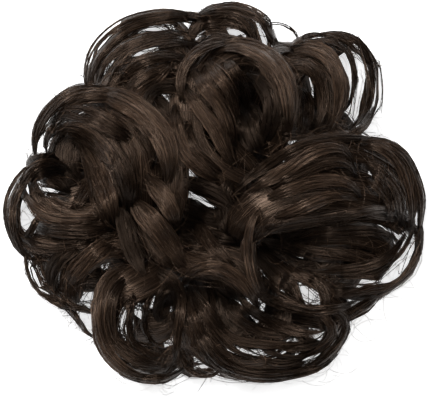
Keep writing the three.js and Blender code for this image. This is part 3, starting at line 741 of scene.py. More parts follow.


# seen from above, in mm from the band's middle: width, strands, lift over the curls, and the route's points
# the lift also picks each stream's painted light or shade, and the streams named ..._dark are painted shade over
# shadowed hollows
streamTable = {
    "fan_high": (7.5, 60, 0.9, (-59, 28.5), (-55, 32.5), (-47, 33), (-39.5, 30), (-31.5, 25), (-24, 20)),
    "fan_middle": (7.5, 60, 1.2, (-56, 25), (-52, 27.5), (-46, 25.5), (-39.5, 19.5), (-34.5, 13),
        (-30.5, 6.5)),
    "fan_low": (7.5, 70, 1.4, (-52.5, 24), (-48.5, 23), (-44, 18), (-40.5, 11.5), (-37, 4), (-35, -4.5),
        (-33.5, -13)),
    "fan_edge": (5.5, 45, 1, (-49, 20), (-45, 15), (-42.5, 8.5), (-40.5, 1), (-38, -6), (-35, -13)),
    "fan_fill": (9, 80, 0.4, (-46, 30), (-38, 22.5), (-33, 15), (-30, 7.5), (-29, 0), (-30, -8)),
    "fan_fill_low": (8, 70, 0.2, (-48, 26.5), (-41, 19), (-36.5, 10.5), (-33.5, 2), (-32, -6)),
    "fan_curl": (5, 40, 0.8, (-45.5, 14.5), (-44, 8.5), (-45.5, 2.5), (-49, -2.5), (-53.5, -3)),
    "shoulder_outer": (5, 45, 0.8, (-35, 42.5), (-42.5, 42.3), (-49.5, 40.5), (-55.9, 36.5), (-61.2, 30.5),
        (-63.9, 24.5), (-64.2, 18.5), (-62.5, 13)),
    "shoulder_inner": (5.5, 45, 0.9, (-27.5, 36), (-34, 38.5), (-41.5, 39.5), (-48.5, 37.5), (-54, 33.5),
        (-58, 27)),
    "shoulder_fall": (9, 80, 1.6, (-45.5, 41), (-36, 39.5), (-26, 34.5), (-19, 27.5), (-14.5, 19.5),
        (-13, 10.5), (-15.5, 1.5)),
    "shoulder_under": (5.5, 40, 0.8, (-42, 36), (-33, 33.5), (-25.5, 28.5), (-21, 22), (-19.5, 15),
        (-21.5, 8.5)),
    "middle_fall": (7, 55, 1.4, (-22.5, 10), (-19, 5.5), (-14.5, 0), (-11.5, -7), (-9.5, -13.5)),
    "middle_sweep": (9, 75, 1.4, (-28.5, 2.5), (-24, -4), (-19.5, -9.5), (-14.5, -15.5), (-10, -21.5),
        (-5.5, -27)),
    "middle_dark": (7, 50, 0.6, (-33, 0), (-30.5, -8.5), (-28.5, -17), (-24.5, -25), (-21, -32)),
    "left_ring_low": (5.5, 45, 1.2, (-69.5, 6), (-67, 0), (-61.5, -5), (-54, -7.5), (-45, -7.5), (-36, -6)),
    "left_ring_base": (5.5, 40, 0.9, (-66, -8.5), (-59.5, -11.5), (-50.5, -12), (-40.5, -11.5), (-31.5, -9)),
    "left_ring_top": (3, 26, 0.8, (-70.5, -1), (-69.5, 6), (-66, 11.5), (-59, 14.5), (-52, 12), (-47.5, 7)),
    "left_outer": (1.5, 12, 0.6, (-60, 15), (-68.2, 12), (-73.4, 5), (-75.8, -3), (-74.6, -12),
        (-71.3, -19.3), (-65.5, -24)),
    "left_band": (3.5, 30, 0.7, (-58, 14), (-66, 9.5), (-71, 2.5), (-72.7, -5.5), (-71.6, -14.5),
        (-67.3, -21.8), (-58.5, -24)),
    "left_foot": (4.5, 34, 0.6, (-70.5, -12), (-64.5, -17.5), (-56.5, -19), (-47, -17.5), (-38, -15)),
    "lower_left_outer": (4, 36, 0.6, (-67.5, -17.5), (-66.5, -24.5), (-63.5, -31.5), (-58.5, -36.8),
        (-52.5, -40.5), (-44.5, -42)),
    "lower_left_sweep": (7.5, 65, 1.2, (-31.5, -14.5), (-38.5, -17.5), (-44.5, -22.5), (-49.5, -28.5),
        (-53.5, -35)),
    "lower_left_dark": (5.5, 40, 0.7, (-42.5, -16.5), (-51, -19.5), (-57, -25), (-58.5, -31), (-55, -36.5)),
    "lower_left_loose": (3, 30, 0.5, (-56, -37), (-51, -41.5), (-47.5, -45.5), (-44, -50), (-40, -53)),
    "bottom_left_wall": (6, 60, 1.2, (-25.5, -25.5), (-32.5, -26), (-38, -31.5), (-40.5, -39.5),
        (-40.5, -48.5), (-37.5, -56.5), (-31.5, -63), (-22.5, -67), (-13, -66.5)),
    "bottom_left_inside": (5.5, 50, 1, (-24, -28.5), (-30, -30), (-34.5, -36), (-36, -43.5), (-35, -51),
        (-31, -56.5), (-24.5, -61), (-16.5, -62.5), (-8.5, -61)),
    "bottom_left_rib": (3, 26, 0.8, (-21.5, -32), (-26, -34.5), (-28.5, -41), (-29.5, -47), (-27.5, -53),
        (-23, -57), (-16.5, -59), (-9.5, -57)),
    "bottom_left_eye": (2.5, 18, 0.6, (-16.5, -33.5), (-20.5, -36.5), (-22.5, -42.5), (-22.5, -48.5),
        (-20, -53.5), (-14.5, -56.5)),
    "bottom_fall_left": (4, 34, 0.9, (-9.5, -31.5), (-9, -39.5), (-10, -48), (-11, -56.5), (-12.5, -63)),
    "bottom_fall_middle": (4.5, 44, 1.1, (-7, -32.5), (-5.5, -41), (-2.5, -49), (-0.5, -56.5), (1, -63.5)),
    "bottom_fall_right": (5.5, 50, 1.1, (-5, -32.5), (-1, -39.5), (4, -47), (8.5, -53), (15, -57.5),
        (23, -59.5)),
    "bottom_arch": (5.5, 50, 1.3, (-10, -34.5), (-6, -28.5), (0, -25), (7, -25.5), (13, -30), (18, -37),
        (21.5, -44.5)),
    "centre_fall": (5.5, 45, 1, (-4, -5.5), (-1, -11.5), (3.5, -18), (7.5, -22.5), (13, -27)),
    "inner_arc": (3, 34, 2.2, (25.5, 0.5), (20.5, -3.5), (17, -9.5), (16, -17), (16.5, -24.5), (18.5, -31.5),
        (22.5, -38), (28.5, -42.5)),
    "inner_thin_arc": (1, 5, 2, (21, -11.5), (24, -8.5), (27.5, -11), (29, -16.5), (28, -21.5)),
    "right_top_edge": (4.5, 45, 1, (10, 1), (15, 7), (21, 11.5), (28, 16), (35, 19.5), (42.5, 21.8),
        (51.5, 23.3), (60, 23.5), (67, 21.5)),
    "right_top_bright": (5.5, 55, 1.4, (14.5, 2.5), (22.5, 7), (30, 11.5), (36.5, 16.5), (43.5, 19.5),
        (50.5, 20), (55, 16.5), (57, 11)),
    "right_arch": (4.5, 45, 1.1, (21, 3.5), (30, 7), (38, 10.5), (45.5, 13.5), (52, 14), (56, 10.5), (57, 5)),
    "right_rim": (4, 40, 0.8, (53.5, 21.5), (61, 22.8), (69.2, 21.1), (75.3, 16.7), (79.4, 8.7), (81.5, 0),
        (81.4, -9.5), (79.9, -19)),
    "right_wall": (6, 60, 1.2, (57.5, 19.5), (64.5, 20.5), (71.5, 17), (76, 10.5), (78, 3), (78.5, -5.5),
        (77, -13.5)),
    "right_wall_inner": (5, 45, 1.1, (59, 14.5), (64.5, 13), (69, 8.5), (73, 2.5), (74.5, -4.5),
        (73.5, -11.5)),
    "right_wall_step": (3.5, 28, 0.9, (59.5, 8.5), (64, 5.5), (68, 1), (70, -4.5), (68.5, -9.5)),
    "right_middle_arch": (5, 45, 1.2, (20, -1), (28, 2.5), (36, 5.5), (43.5, 7), (51, 7), (57, 4),
        (59.5, -2)),
    "right_middle_bright": (5, 50, 1.2, (22.5, -7.5), (30.5, -5.5), (38, -2.5), (45, 0.5), (52.5, 1.5),
        (59, -1)),
    "right_long": (4.5, 45, 1, (15.5, -14.5), (25.5, -11), (36, -8.5), (47, -7), (58, -4.5), (67, -3.5),
        (73.5, -6), (76.5, -12)),
    "right_long_low": (4, 36, 0.9, (24, -18), (34.5, -14.5), (44, -12), (55, -11.5), (64.5, -11.5),
        (72, -14.5), (74.5, -19.5)),
    "right_low_rim": (4.5, 50, 0.8, (81.4, -5.5), (81.7, -14.5), (79.2, -22.2), (74.0, -27.6), (66.8, -31.6),
        (58.4, -34.4), (49, -36.4), (44, -37)),
    "right_low_inside": (4, 36, 0.8, (76.5, -11.5), (73.5, -17), (69, -22), (62.5, -25), (55, -26.5),
        (45.5, -27), (37, -26.5)),
    "right_low_web": (2.5, 9, 0.6, (72, -23.5), (66.5, -28), (59.5, -30.5), (51, -32), (42.5, -32)),
    "lower_right_tail": (4.5, 45, 1.1, (16, -30), (21, -36), (30, -40), (40.5, -42), (51, -40.5),
        (61, -36.5)),
    "lower_right_rim": (3.5, 36, 0.7, (36, -39.5), (45, -40.5), (51.2, -42.7), (53.4, -47), (51.4, -52.8),
        (46.9, -58.5), (41.4, -63.3), (34, -66)),
    "lower_right_inside": (4, 34, 0.9, (31.5, -38.5), (40.5, -41), (47, -45.5), (48.5, -51), (44, -56.5),
        (36, -60), (28, -61)),
    "lower_right_low": (4.5, 40, 1, (11, -33.5), (16.5, -40.5), (24.5, -45.5), (33.5, -49.5), (42.5, -50.5),
        (48.5, -47)),
    "bottom_rim": (5.5, 60, 0.7, (-6.5, -38), (-2.5, -49), (4.5, -60), (12.5, -64.6), (22.5, -66.4),
        (32.5, -65.8), (41.5, -64.2), (48, -60.3), (52, -55)),
    "bottom_inside": (3, 30, 0.8, (-0.5, -38), (3.5, -45.5), (9.5, -52), (19, -54), (30, -55), (39.5, -53.5),
        (46.5, -49)),
    "bottom_middle": (4, 36, 0.9, (6, -37.5), (11.5, -44), (18.5, -48.5), (28, -51), (37.5, -51.5)),
    "bottom_small_rim": (1.5, 14, 0.5, (-9.5, -56.5), (-8.5, -62.5), (-3.7, -66.3), (2.8, -66.3),
        (6.9, -62.5), (7.3, -56.5)),
    "top_left_rim": (7, 80, 0.8, (0, 66.5), (-8, 69.5), (-17, 69.3), (-27, 66.8), (-34.7, 62), (-40.7, 55.2),
        (-43.3, 48.5), (-43.7, 41.5), (-42, 35)),
    "top_left_second": (4, 36, 0.9, (-3.5, 62.5), (-12.5, 63), (-22.5, 61), (-32, 57), (-38.5, 50.5),
        (-41, 42.5)),
    "top_left_third": (4, 36, 0.9, (-0.5, 58.5), (-9.5, 59.5), (-19, 58.5), (-27.5, 55), (-34, 49),
        (-36.5, 41.5)),
    "top_left_fourth": (4.5, 40, 1, (-5, 53), (-14, 54), (-22.5, 52), (-30, 47.5), (-34, 40)),
    "top_left_tangle": (6, 45, 0.9, (-8.5, 47.5), (-16.5, 48.5), (-23, 45.5), (-28.5, 40), (-30, 35)),
    "top_left_cross": (5.5, 34, 1.2, (-11, 52), (-17, 47.5), (-22.5, 42.5), (-27.5, 38), (-33, 35.5)),
    "top_left_dark": (6, 45, 0.7, (-7, 41), (-13, 42.5), (-19.5, 41), (-22.5, 35.5), (-21, 29.5)),
    "top_rim": (6, 66, 0.7, (-3.8, 69.6), (2.5, 71.5), (8.5, 72.2), (15, 71), (21, 67.5), (25, 62.5),
        (27, 57), (26.5, 50.5)),
    "top_second": (3, 26, 0.7, (-2, 66), (3, 69.5), (9, 70.5), (14.5, 68), (18, 62.5), (19.5, 55)),
    "top_third": (4, 30, 0.7, (-2, 59), (3, 61.5), (8, 60.5), (13, 59.5), (16.5, 54.5)),
    "top_thin": (1.6, 16, 0.5, (22, 66), (26, 66), (30, 64.9), (33.3, 61.8), (34.5, 59.5)),
    "top_right_rim": (1.5, 14, 0.6, (36, 60.5), (42, 62.7), (50.5, 63.5), (57.5, 61.3), (63, 55), (66.8, 45),
        (65.5, 34.5), (60, 26.5)),
    "top_right_second": (2.5, 22, 0.7, (37, 60.5), (44, 62.5), (52, 61), (58, 55), (61, 47), (62, 38),
        (58.5, 30), (53.5, 25)),
    "top_right_third": (2.5, 22, 0.8, (35.5, 59.5), (42.5, 61), (50, 59), (55, 53.5), (57, 45.5),
        (56.5, 36.5), (53.5, 28.5), (49, 24)),
    "top_right_body": (7.5, 75, 1.2, (30.5, 55), (36.5, 58), (43.5, 57), (49, 51.5), (51.5, 43), (50.5, 34),
        (46.5, 25)),
    "top_right_inner": (5.5, 48, 1.1, (29, 48.5), (35, 51.5), (41, 48.5), (44, 41.5), (44, 33.5), (41, 25)),
    "top_right_low": (4.5, 36, 1, (31.5, 41.5), (36.5, 41.5), (39.5, 36.5), (38.5, 29.5), (35.5, 22.5)),
    "crown_arm": (7.5, 85, 1.4, (0.5, 53.5), (6.5, 57.5), (13, 58), (20, 56), (25.5, 52), (29.5, 47),
        (32, 40), (32, 32.5), (31, 25), (28, 18)),
    "crown_arm_inner": (3.5, 36, 0.9, (11.5, 53), (17, 53), (22, 50), (25.5, 44), (27, 36.5), (27, 28.5),
        (24.5, 21.5)),
    "crown_back": (4.5, 42, 1, (-7, 33.5), (-9, 41), (-8, 49), (-4, 55), (2, 58.5), (9.5, 60), (17.5, 59)),
    "crown_face_left": (6, 60, 1.4, (-8.5, 44.5), (-5.5, 39), (-2, 33.5), (2.5, 28), (6, 22), (9, 16),
        (13, 10)),
    "crown_face_middle": (6, 60, 1.5, (-5.5, 51), (-2.5, 45.5), (1, 40.5), (5.5, 35), (8.5, 28.5),
        (10.5, 22), (12, 16)),
    "crown_face_right": (5.5, 50, 1.3, (0, 54), (2.5, 49.5), (6.5, 44.5), (10, 39.5), (11.5, 33.5), (13, 27)),
    "crown_face_edge": (5.5, 45, 0.9, (7, 54), (10, 49.5), (13, 44.5), (15, 39.5), (16, 33.5)),
    "crown_foot": (6, 60, 1.3, (-10.5, 36.5), (-11.5, 30), (-10.5, 23.5), (-7.5, 18), (-3, 13.5), (2.5, 9),
        (8.5, 5)),
    "notch_low_right": (5, 44, 0, (44.5, -47.5), (51.4, -44.8), (57.6, -41.4), (63.2, -38.2), (68, -35)),
    "bottom_left_fill": (7, 70, -2, (-8, -31), (-12.5, -34), (-16, -38.5), (-17, -44), (-15, -49)),
    "lower_right_fill": (6, 60, -2, (33, -47), (38, -50), (42, -53), (44, -57)),
    "lower_right_inner_fill": (5, 50, -1, (31, -44), (38, -45.5), (44, -47), (48, -50)),
    "left_eye_cover": (5, 50, -1, (-67, 6), (-62.5, 10.3), (-56.5, 11), (-50.5, 7.5)),
    "bottom_left_rim": (3.5, 40, 0.5, (-37.3, -58.7), (-31.8, -64.6), (-24, -67.5), (-16, -67.6),
        (-10, -65.3), (-5, -61.5)),
    "top_rim_under": (4.5, 44, 0, (-4, 63.8), (2, 66), (9, 66.4), (15, 64.6), (18, 60.5)),
    "top_thin_low": (1.5, 14, 0, (25, 60), (29, 59.4), (34, 59.4), (38, 60.5)),
    "top_right_rim_fill": (3, 26, 0.4, (44, 61.5), (52, 62), (58.5, 59.5), (62.5, 53), (63.5, 45)),
    "notch_left": (4.5, 44, -1, (-68, 13), (-64, 16), (-59.5, 17), (-55, 15)),
    "right_wall_fill": (6, 55, 0.2, (60, 14), (65, 10.5), (69, 5.5), (71, -1), (70, -7)),
    "lower_left_under": (3, 30, 0, (-59, -32), (-54, -37), (-49, -40.4), (-43, -42.2), (-37, -42)),
    "bottom_right_fill": (5, 50, -1, (18, -52.5), (24, -55.5), (31, -58), (38, -58), (44, -55)),
    "bottom_right_low_fill": (5, 50, -1, (20, -60.5), (28, -62.5), (36, -61.5), (43, -58)),
    "lower_arc_fill": (5, 50, -2, (21, -29), (24, -34), (25, -40), (22, -46)),
    "bottom_inner_fill": (5, 45, -1, (9, -37), (13, -42), (17, -47), (22, -51)),
    "top_right_bar": (2.4, 34, 0.4, (51, 61.5), (54.4, 56.5), (56.1, 51), (56.4, 44), (55.2, 38), (52.5, 33)),
    "top_right_rim_bar": (2.4, 34, 0.3, (61, 58.5), (63.1, 51), (63.4, 44), (61.9, 36), (58.5, 28.5)),
    "right_low_fill": (2.5, 26, 0, (50, -29), (58, -29.3), (66, -29.5), (70, -27.5)),
    "left_eye_fill": (5.5, 50, -1.5, (-63, 7.2), (-58.5, 7.4), (-54.5, 5.5), (-50.5, 2.5)),
    "bottom_centre_fill": (7, 60, -2, (-21, -26), (-15, -29.5), (-10.5, -34), (-9.5, -41), (-11, -48)),
    "right_low_under": (5, 46, -1, (46, -34), (54, -35), (61, -35.2), (68, -32.8)),
    "top_corner_fill": (3.5, 32, 0, (22, 54), (26.5, 56.7), (31, 57.2), (36, 56)),
    "top_right_edge": (1.4, 16, 0.4, (60.5, 59.5), (64.4, 53), (65.4, 46), (65.3, 39), (63.5, 32),
        (60.5, 27)),
    "top_right_heel": (2.6, 28, 0, (64.5, 36), (62.3, 31), (59.5, 27.3), (55.5, 25), (51, 24)),
    "right_slit_wall": (1.8, 22, 0.4, (80, -7), (77.4, -14.5), (74.2, -19.8), (69.8, -24.4), (64, -28)),
    "right_eye_wall": (3, 30, 0, (28.3, -27), (32.8, -30.3), (35, -34.5), (36.4, -38.8), (40, -42)),
    "bottom_left_bar": (2.2, 24, 0.3, (-26, -34), (-27.7, -41), (-27.9, -48), (-25, -53.5)),
    "bottom_left_wall_inside": (2.2, 24, 0.2, (-20.5, -35), (-22.9, -42), (-23.2, -48), (-21, -53.5)),
    "bottom_right_dark": (4, 38, -1, (29, -48), (35, -50.8), (39, -54), (41, -57.5)),
    "bottom_right_dark_low": (3.5, 30, -1, (26, -55.5), (33, -55.6), (39, -55), (46, -53)),
    "left_gap_fill": (3, 30, 0, (-69.5, -14.8), (-66, -11.7), (-63.8, -8), (-60.5, -5)),
    "left_eye_low": (3, 30, -1, (-67, 8), (-62.5, 4.4), (-58, 2.8), (-52.5, 2)),
    "top_speck_fill": (2.5, 26, 0, (-3, 61.5), (3, 63.5), (7.2, 64), (9.5, 61)),
    "right_notch_fill": (5, 44, -1, (27, 23.5), (33, 24.5), (38, 24), (43.5, 22.5)),
    "crown_arm_dark": (7, 64, 0.5, (15.5, 47.5), (20.5, 44.5), (24, 38.5), (24.8, 31.5), (23.2, 24.5),
        (19, 17)),
    "crown_floor_dark": (9, 80, -0.5, (13, 35), (15.8, 28.5), (18.5, 22), (21, 15)),
    "crown_pit_low": (7, 60, -3, (10.5, 36.5), (13, 30.5), (15, 25), (17, 18.5)),
    "lower_arc_low_fill": (5, 44, -2, (27, -29), (31, -32), (33.5, -36), (34, -41)),
    "top_notch_fill": (3, 30, 0.3, (-12, 70.1), (-6, 70.2), (-1, 68.8), (4, 66)),
    "top_right_shoulder": (2.5, 24, 0.3, (31, 57.5), (35.5, 60.6), (41, 62.4), (47, 62.7)),
    "shoulder_gap_fill": (3.5, 34, -1, (-54, 29.8), (-58, 26.7), (-60.2, 22.5), (-60, 17)),
    "bottom_speck_fill": (2, 22, 0, (6, -51.5), (11.5, -54.2), (17, -55.5), (23, -56.4)),
    "top_right_gap_fill": (3.5, 34, 0, (38.5, 51), (41.7, 45.5), (42.6, 39), (41, 32)),
    "right_long_fill": (4, 36, -0.5, (21, -14.5), (28.5, -17), (35, -19.8), (43, -22)),
    "right_eye_right": (3.5, 34, 0, (37, -29), (42, -31.2), (44.4, -35), (45.2, -39.5), (44, -44)),
    "centre_floor": (8, 60, -7, (-15, -9), (-9, -14), (-3, -17.5), (4, -19.5)),
    "crown_pit": (8, 50, -6, (13, 40), (16.5, 33), (18.5, 26), (18.5, 19), (16, 13)),
    "centre_top": (8, 60, -1, (-11.5, 8.6), (-5.5, 5.9), (0.5, 3.2), (7, -1), (12, -6)),
    "centre_right": (5, 44, -2, (12, 10), (8, 5), (6, -1), (6.5, -8), (9, -14.5)),
    "centre_low": (9, 66, -4, (-12, -1), (-7, -2.4), (-1.5, -4.8), (5, -6.9), (12, -9.8)),
    "centre_deep": (7, 54, -6, (-12, -6), (-6, -10), (0.5, -13), (7, -15), (14, -16)),
    "crown_foot_inner": (4, 34, 1, (-5.5, 32.5), (-6.5, 26.5), (-5, 21), (-1, 16), (4, 11.5), (10, 7.5)),
}
streamWork = {
    "spacing": 4.6,  # mm between the points along a strand
    "fewest": 8,  # points along a strand
    "crowd": 1.65,  # times the table's strands
    "begins": 0.20,  # the most of its length that a strand leaves off at the start
    "stops": 0.24,  # and at the end
    "radius": 0.095,  # mm
    "radiusTaper": (0.45, 0.1, 0.3, 0.85),  # as the strands' of a lock
    "widthTaper": (0.38, 0.3, 0.25, 0.62),
    "wayward": 0.10,
    "waywardAcross": 0.7,
    "waywardUp": 0.7,  # mm
    "clumps": 5,
    "clumpWidth": 0.9,  # mm, the narrowest
    "clumpEdge": 0.85,
    "clumpScatter": 0.08,
    "clumpBulge": 0.7,  # mm that each clump rises in its middle
    "clumpLevel": 0.3,  # mm between clumps
    "gather": 0.45,
    "sway": 0.14,
    "ripple": 0.03,
    "rippleTurns": (0.8, 2.4),
    "bulge": 0.22,  # of the width
    "arch": 0.06,  # of the length, that a stream rises between its ends
    "wave": 1.4,  # mm that a stream rises and falls on its way
    "waveLength": (20, 34),  # mm
    "dip": 5.5,  # mm that the ends sink into the curls
    "dipShares": (0.2, 0.22),  # of the length, at the start and the end
    "lowest": 0.4,  # mm above the table
    "brightFrom": 1.15,  # mm of lift from which a stream takes the painted-light copy
    # middleFrom: mm of lift from which a stream takes the plain copy; lower ones take a copy with painted shade
    "middleFrom": 0.75,
}
streamBody = {
    "sides": 14,
    "depth": 0.9,  # mm
    "under": 0.35,  # mm below the strands
    "width": 0.88,  # of the stream's
    "closing": (0.14, 0.18),  # of the length, at the start and the end
    "lowest": 0.3,  # mm above the table
}


def smoothRoute(points):
    # a Catmull-Rom curve through the route's points, at even steps
    points = np.array(points, dtype=float)
    ends = np.vstack([2 * points[0] - points[1], points, 2 * points[-1] - points[-2]])
    pieces = []
    for i in range(1, len(ends) - 2):
        t = np.linspace(0, 1, 24, endpoint=False)[:, None]
        a, b, c, d = ends[i - 1], ends[i], ends[i + 1], ends[i + 2]
        pieces.append(0.5 * (2 * b + (c - a) * t + (2 * a - 5 * b + 4 * c - d) * t ** 2
                             + (3 * b - a - 3 * c + d) * t ** 3))
    line = np.vstack(pieces + [points[-1:]])
    run = np.concatenate([[0], np.cumsum(np.linalg.norm(np.diff(line, axis=0), axis=1))])
    count = int(max(streamWork["fewest"], round(run[-1] / streamWork["spacing"])))
    return alongRoute(np.linspace(0, run[-1], count + 1), run, line)


def streamForm(width, lift, route, rng):
    # the middle line of a stream, its sides, and the height its surface adds along the way
    work = streamWork
    line = smoothRoute(route)
    along = unitRows(np.gradient(line, axis=0))
    length = work["spacing"] * (len(line) - 1)
    waveLength, phase = rng.uniform(*work["waveLength"]), rng.random()

    def half(share):
        return width / 2 * tapered(share, *work["widthTaper"])

    def rise(flat, share, x):
        first, last = work["dipShares"]
        ends = work["dip"] * (2 - smoothShare(share / first) - smoothShare((1 - share) / last))
        arch = work["arch"] * length * np.sin(np.pi * share)
        wave = work["wave"] * waving(share * length / waveLength + phase)
        crown = work["bulge"] * 2 * half(share) * (1 - np.clip(np.abs(x), 0, 1) ** 2)
        return heightAt(flat) + lift + arch + wave + crown - ends

    return {"line": line, "normal": np.column_stack([along[:, 1], -along[:, 0]]), "half": half, "rise": rise}


def levelSides(x, y):
    # the two sides of strands that lie level: one across, given by x and y, and one straight up
    across = np.stack([x, y, np.zeros_like(x)], axis=-1)
    up = np.zeros_like(across)
    up[..., 2] = 1
    return across, up


def streamStrands(width, strands, form, rng):
    work = streamWork
    stations = np.linspace(0, 1, len(form["line"]))
    count = int(strands * work["crowd"])
    begin = work["begins"] * rng.random(count) ** 1.4
    finish = 1 - work["stops"] * rng.random(count) ** 1.4
    local = stations[None, :]
    share = blendTo(begin[:, None], finish[:, None], local)
    centre = alongRoute(share, stations, form["line"])
    normal = unitRows(alongRoute(share, stations, form["normal"]))

    # gathered into clumps
    x = rng.uniform(-1, 1, count)
    clumps = max(2, min(work["clumps"], int(width / work["clumpWidth"])))
    centres = np.linspace(-work["clumpEdge"], work["clumpEdge"], clumps)
    centres = centres + rng.normal(0, work["clumpScatter"], clumps)
    nearest = np.argmin(np.abs(x[:, None] - centres[None, :]), axis=1)
    clump = centres[nearest][:, None]
    phase = rng.random(clumps)[nearest][:, None]
    pull = work["gather"] * (0.55 + 0.45 * waving(1.1 * share + phase))
    fromClump = np.abs(x[:, None] - clump) * clumps
    level = rng.normal(0, work["clumpLevel"], clumps)[nearest][:, None]
    x = x[:, None] + (clump - x[:, None]) * pull

    # swaying together, and each strand a little by itself
    x = x + work["sway"] * waving(0.9 * share + 0.5 * phase + rng.random())
    own = rng.random(count)[:, None]
    x = x + work["ripple"] * waving(share * blendTo(*work["rippleTurns"], own) + rng.random(count)[:, None])
    wayward = (rng.random(count) < work["wayward"])[:, None]
    astray = rng.normal(0, work["waywardAcross"], count)[:, None]
    x = x + wayward * astray * np.sin(np.pi * local) * waving(share + own)
    flat = centre + normal * (x * form["half"](share))[..., None]
    depth = rng.uniform(-0.3, 0.4, count)[:, None] * min(1.2, width * 0.16)
    rounding = work["clumpBulge"] * (1 - np.clip(fromClump, 0, 1) ** 2) + level
    lifted = wayward * work["waywardUp"] * np.sin(np.pi * local)
    rise = form["rise"](flat, share, x) + depth + rounding + lifted
    middle = np.concatenate([flat, np.maximum(rise, work["lowest"])[..., None]], axis=-1)
    radius = work["radius"] * blendTo(0.8, 1.15, own) * (1 - 0.4 * wayward) * np.ones_like(share)
    radius = radius * tapered(local, *work["radiusTaper"])
    return partStrands(middle), radius, *levelSides(normal[..., 0], normal[..., 1]), share


def streamCore(form):
    # a closed, flat body just under the stream's strands, which keeps it from being seen through
    body, line, normal = streamBody, form["line"], form["normal"]
    share = np.linspace(0, 1, len(line))
    first, last = body["closing"]
    closing = smoothShare(share / first) * smoothShare((1 - share) / last)
    half = form["half"](share) * blendTo(0.1, 1, closing)
    lows, highs = freeWidth(line, normal, half, -body["width"], body["width"])
    angle = np.linspace(0, 2 * np.pi, body["sides"], endpoint=False)
    x = blendTo(lows[:, None], highs[:, None], (np.cos(angle)[None, :] + 1) / 2)
    flat = line[:, None, :] + normal[:, None, :] * (x * half[:, None])[..., None]
    thick = body["depth"] * np.minimum(1, (highs - lows) * half / 1.2)[:, None]
    rise = form["rise"](flat, share[:, None], x) - body["under"] + thick * (np.sin(angle)[None, :] - 1)
    points = np.concatenate([flat, np.maximum(rise, body["lowest"])[..., None]], axis=-1)
    return coreForm(points, np.abs(np.linspace(-1, 1, body["sides"])), share)


def streamPair(name, lift):
    # painted light and shade: the higher a stream lies, the lighter its copy of the fibre; streams sunk below the
    # curls, and those named ..._dark that are laid over shadowed hollows, take the painted-shade copy
    if lift < 0 or name.endswith("dark"):
        return shadedPair
    if lift >= streamWork["brightFrom"]:
        return paintedLightPair
    if lift >= streamWork["middleFrom"]:
        return middlePair
    return paintedDimPair


def streamPiece(name, row, seed):
    rng = np.random.default_rng(seed)
    width, strands, lift, *route = row
    form = streamForm(width, lift, route, rng)
    tubes = strandTubes(*outsideGaps(streamStrands(width, strands, form, rng), rng), rng)
    return meshPiece(f"stream_{name}", withCore(tubes, streamCore(form)), streamPair(name, lift))


total = 0
for seed, (name, row) in enumerate(streamTable.items(), start=201):
    total += streamPiece(name, row, seed)
print("streams made:", len(streamTable), "with", total, "triangles")


# single hairs and the lowest fibres

def loosePiece(name, middle, sides, radius, material, rng):
    # a piece of strands with no core; the radius is one for all or one for each point along
    count, rings = middle.shape[:2]
    share = np.broadcast_to(np.linspace(0, 1, rings)[None, :], (count, rings))
    meshPiece(name, strandTubes(middle, radius * np.ones((count, rings)), *sides, share, rng), [material])
    return count


def curvedRuns(heading, bend, length, rings):
    # level curves of a given length, each of which turns evenly, and their direction at each point
    angle = heading[:, None] + bend
    step = length[:, None, None] / (rings - 1) * np.stack([np.cos(angle), np.sin(angle)], axis=-1)
    return np.cumsum(step, axis=1), angle


strayHairs = {
    "count": 1100,
    "rings": 9,
    "length": (6, 27),  # mm
    "turning": 1.6,  # radians over the length
    "radius": 0.08,
    "above": 1.4,  # mm over the streams
    "lift": 3.2,  # mm more in the middle
    "sunk": 1.6,  # mm, the first end
    "steepest": 7.0,  # mm of rise along one, so that none leads down into the hollows
    "within": (84, 76),  # mm from the middle of the part's box
}


def strayPiece():
    hairs = strayHairs
    rng = np.random.default_rng(77)
    count = hairs["count"]
    rows, columns = np.nonzero(solidFound)
    chosen = rng.integers(len(rows), size=count)
    start = np.column_stack([columns[chosen], rows[chosen]]) * drape["pitch"] - drape["reach"]
    heading = rng.random(count) * 2 * np.pi
    turning = rng.normal(0, hairs["turning"], count)
    length = blendTo(*hairs["length"], rng.random(count) ** 1.3)
    local = np.linspace(0, 1, hairs["rings"])
    run, angle = curvedRuns(heading, turning[:, None] * local[None, :], length, hairs["rings"])
    flat = start[:, None, :] + run
    level = np.ptp(heightAt(flat), axis=1) < hairs["steepest"]
    level &= np.all(np.abs(flat + bandCentre[:2] / mm) < np.array(hairs["within"]), axis=(1, 2))
    flat, angle = flat[level], angle[level]
    lift = rng.random(len(flat))[:, None] * hairs["lift"] * np.sin(np.pi * local)[None, :]
    sunk = hairs["sunk"] * (1 - smoothShare(local / 0.2))[None, :]
    rise = heightAt(flat) + hairs["above"] + lift - sunk
    middle = np.concatenate([flat, rise[..., None]], axis=-1)
    radius = hairs["radius"] * blendTo(1, 0.5, local)
    loosePiece("stray_hairs", middle, levelSides(-np.sin(angle), np.cos(angle)), radius, paintedGlintFibre, rng)


# loose loops outside the curls: place, spread, smallest and largest loop in mm, hairs
frizzSpots = (
    ((-60, 37), 3.5, 2.5, 5.0, 12), ((-67, 16), 4.5, 1.5, 5.0, 22), ((-28, -66), 6.0, 3.0, 8.0, 14),
    ((-14, -68), 4.0, 2.0, 5.0, 12), ((44, -62), 5.0, 4.0, 9.0, 10), ((30, 62), 4.0, 3.0, 6.0, 6),
    ((-72, 4), 4.0, 3.0, 7.0, 8), ((-48, -46), 4.0, 2.0, 5.0, 10), ((62, 30), 4.0, 2.0, 5.0, 8),
)
frizzWork = {
    "rings": 14,
    "radius": 0.055,
    "height": (1.5, 12),
    "turn": (2.0, 5.0),  # radians
    "opening": 0.25,  # how far a loop opens or closes on its way
    "flattened": 0.8,
}


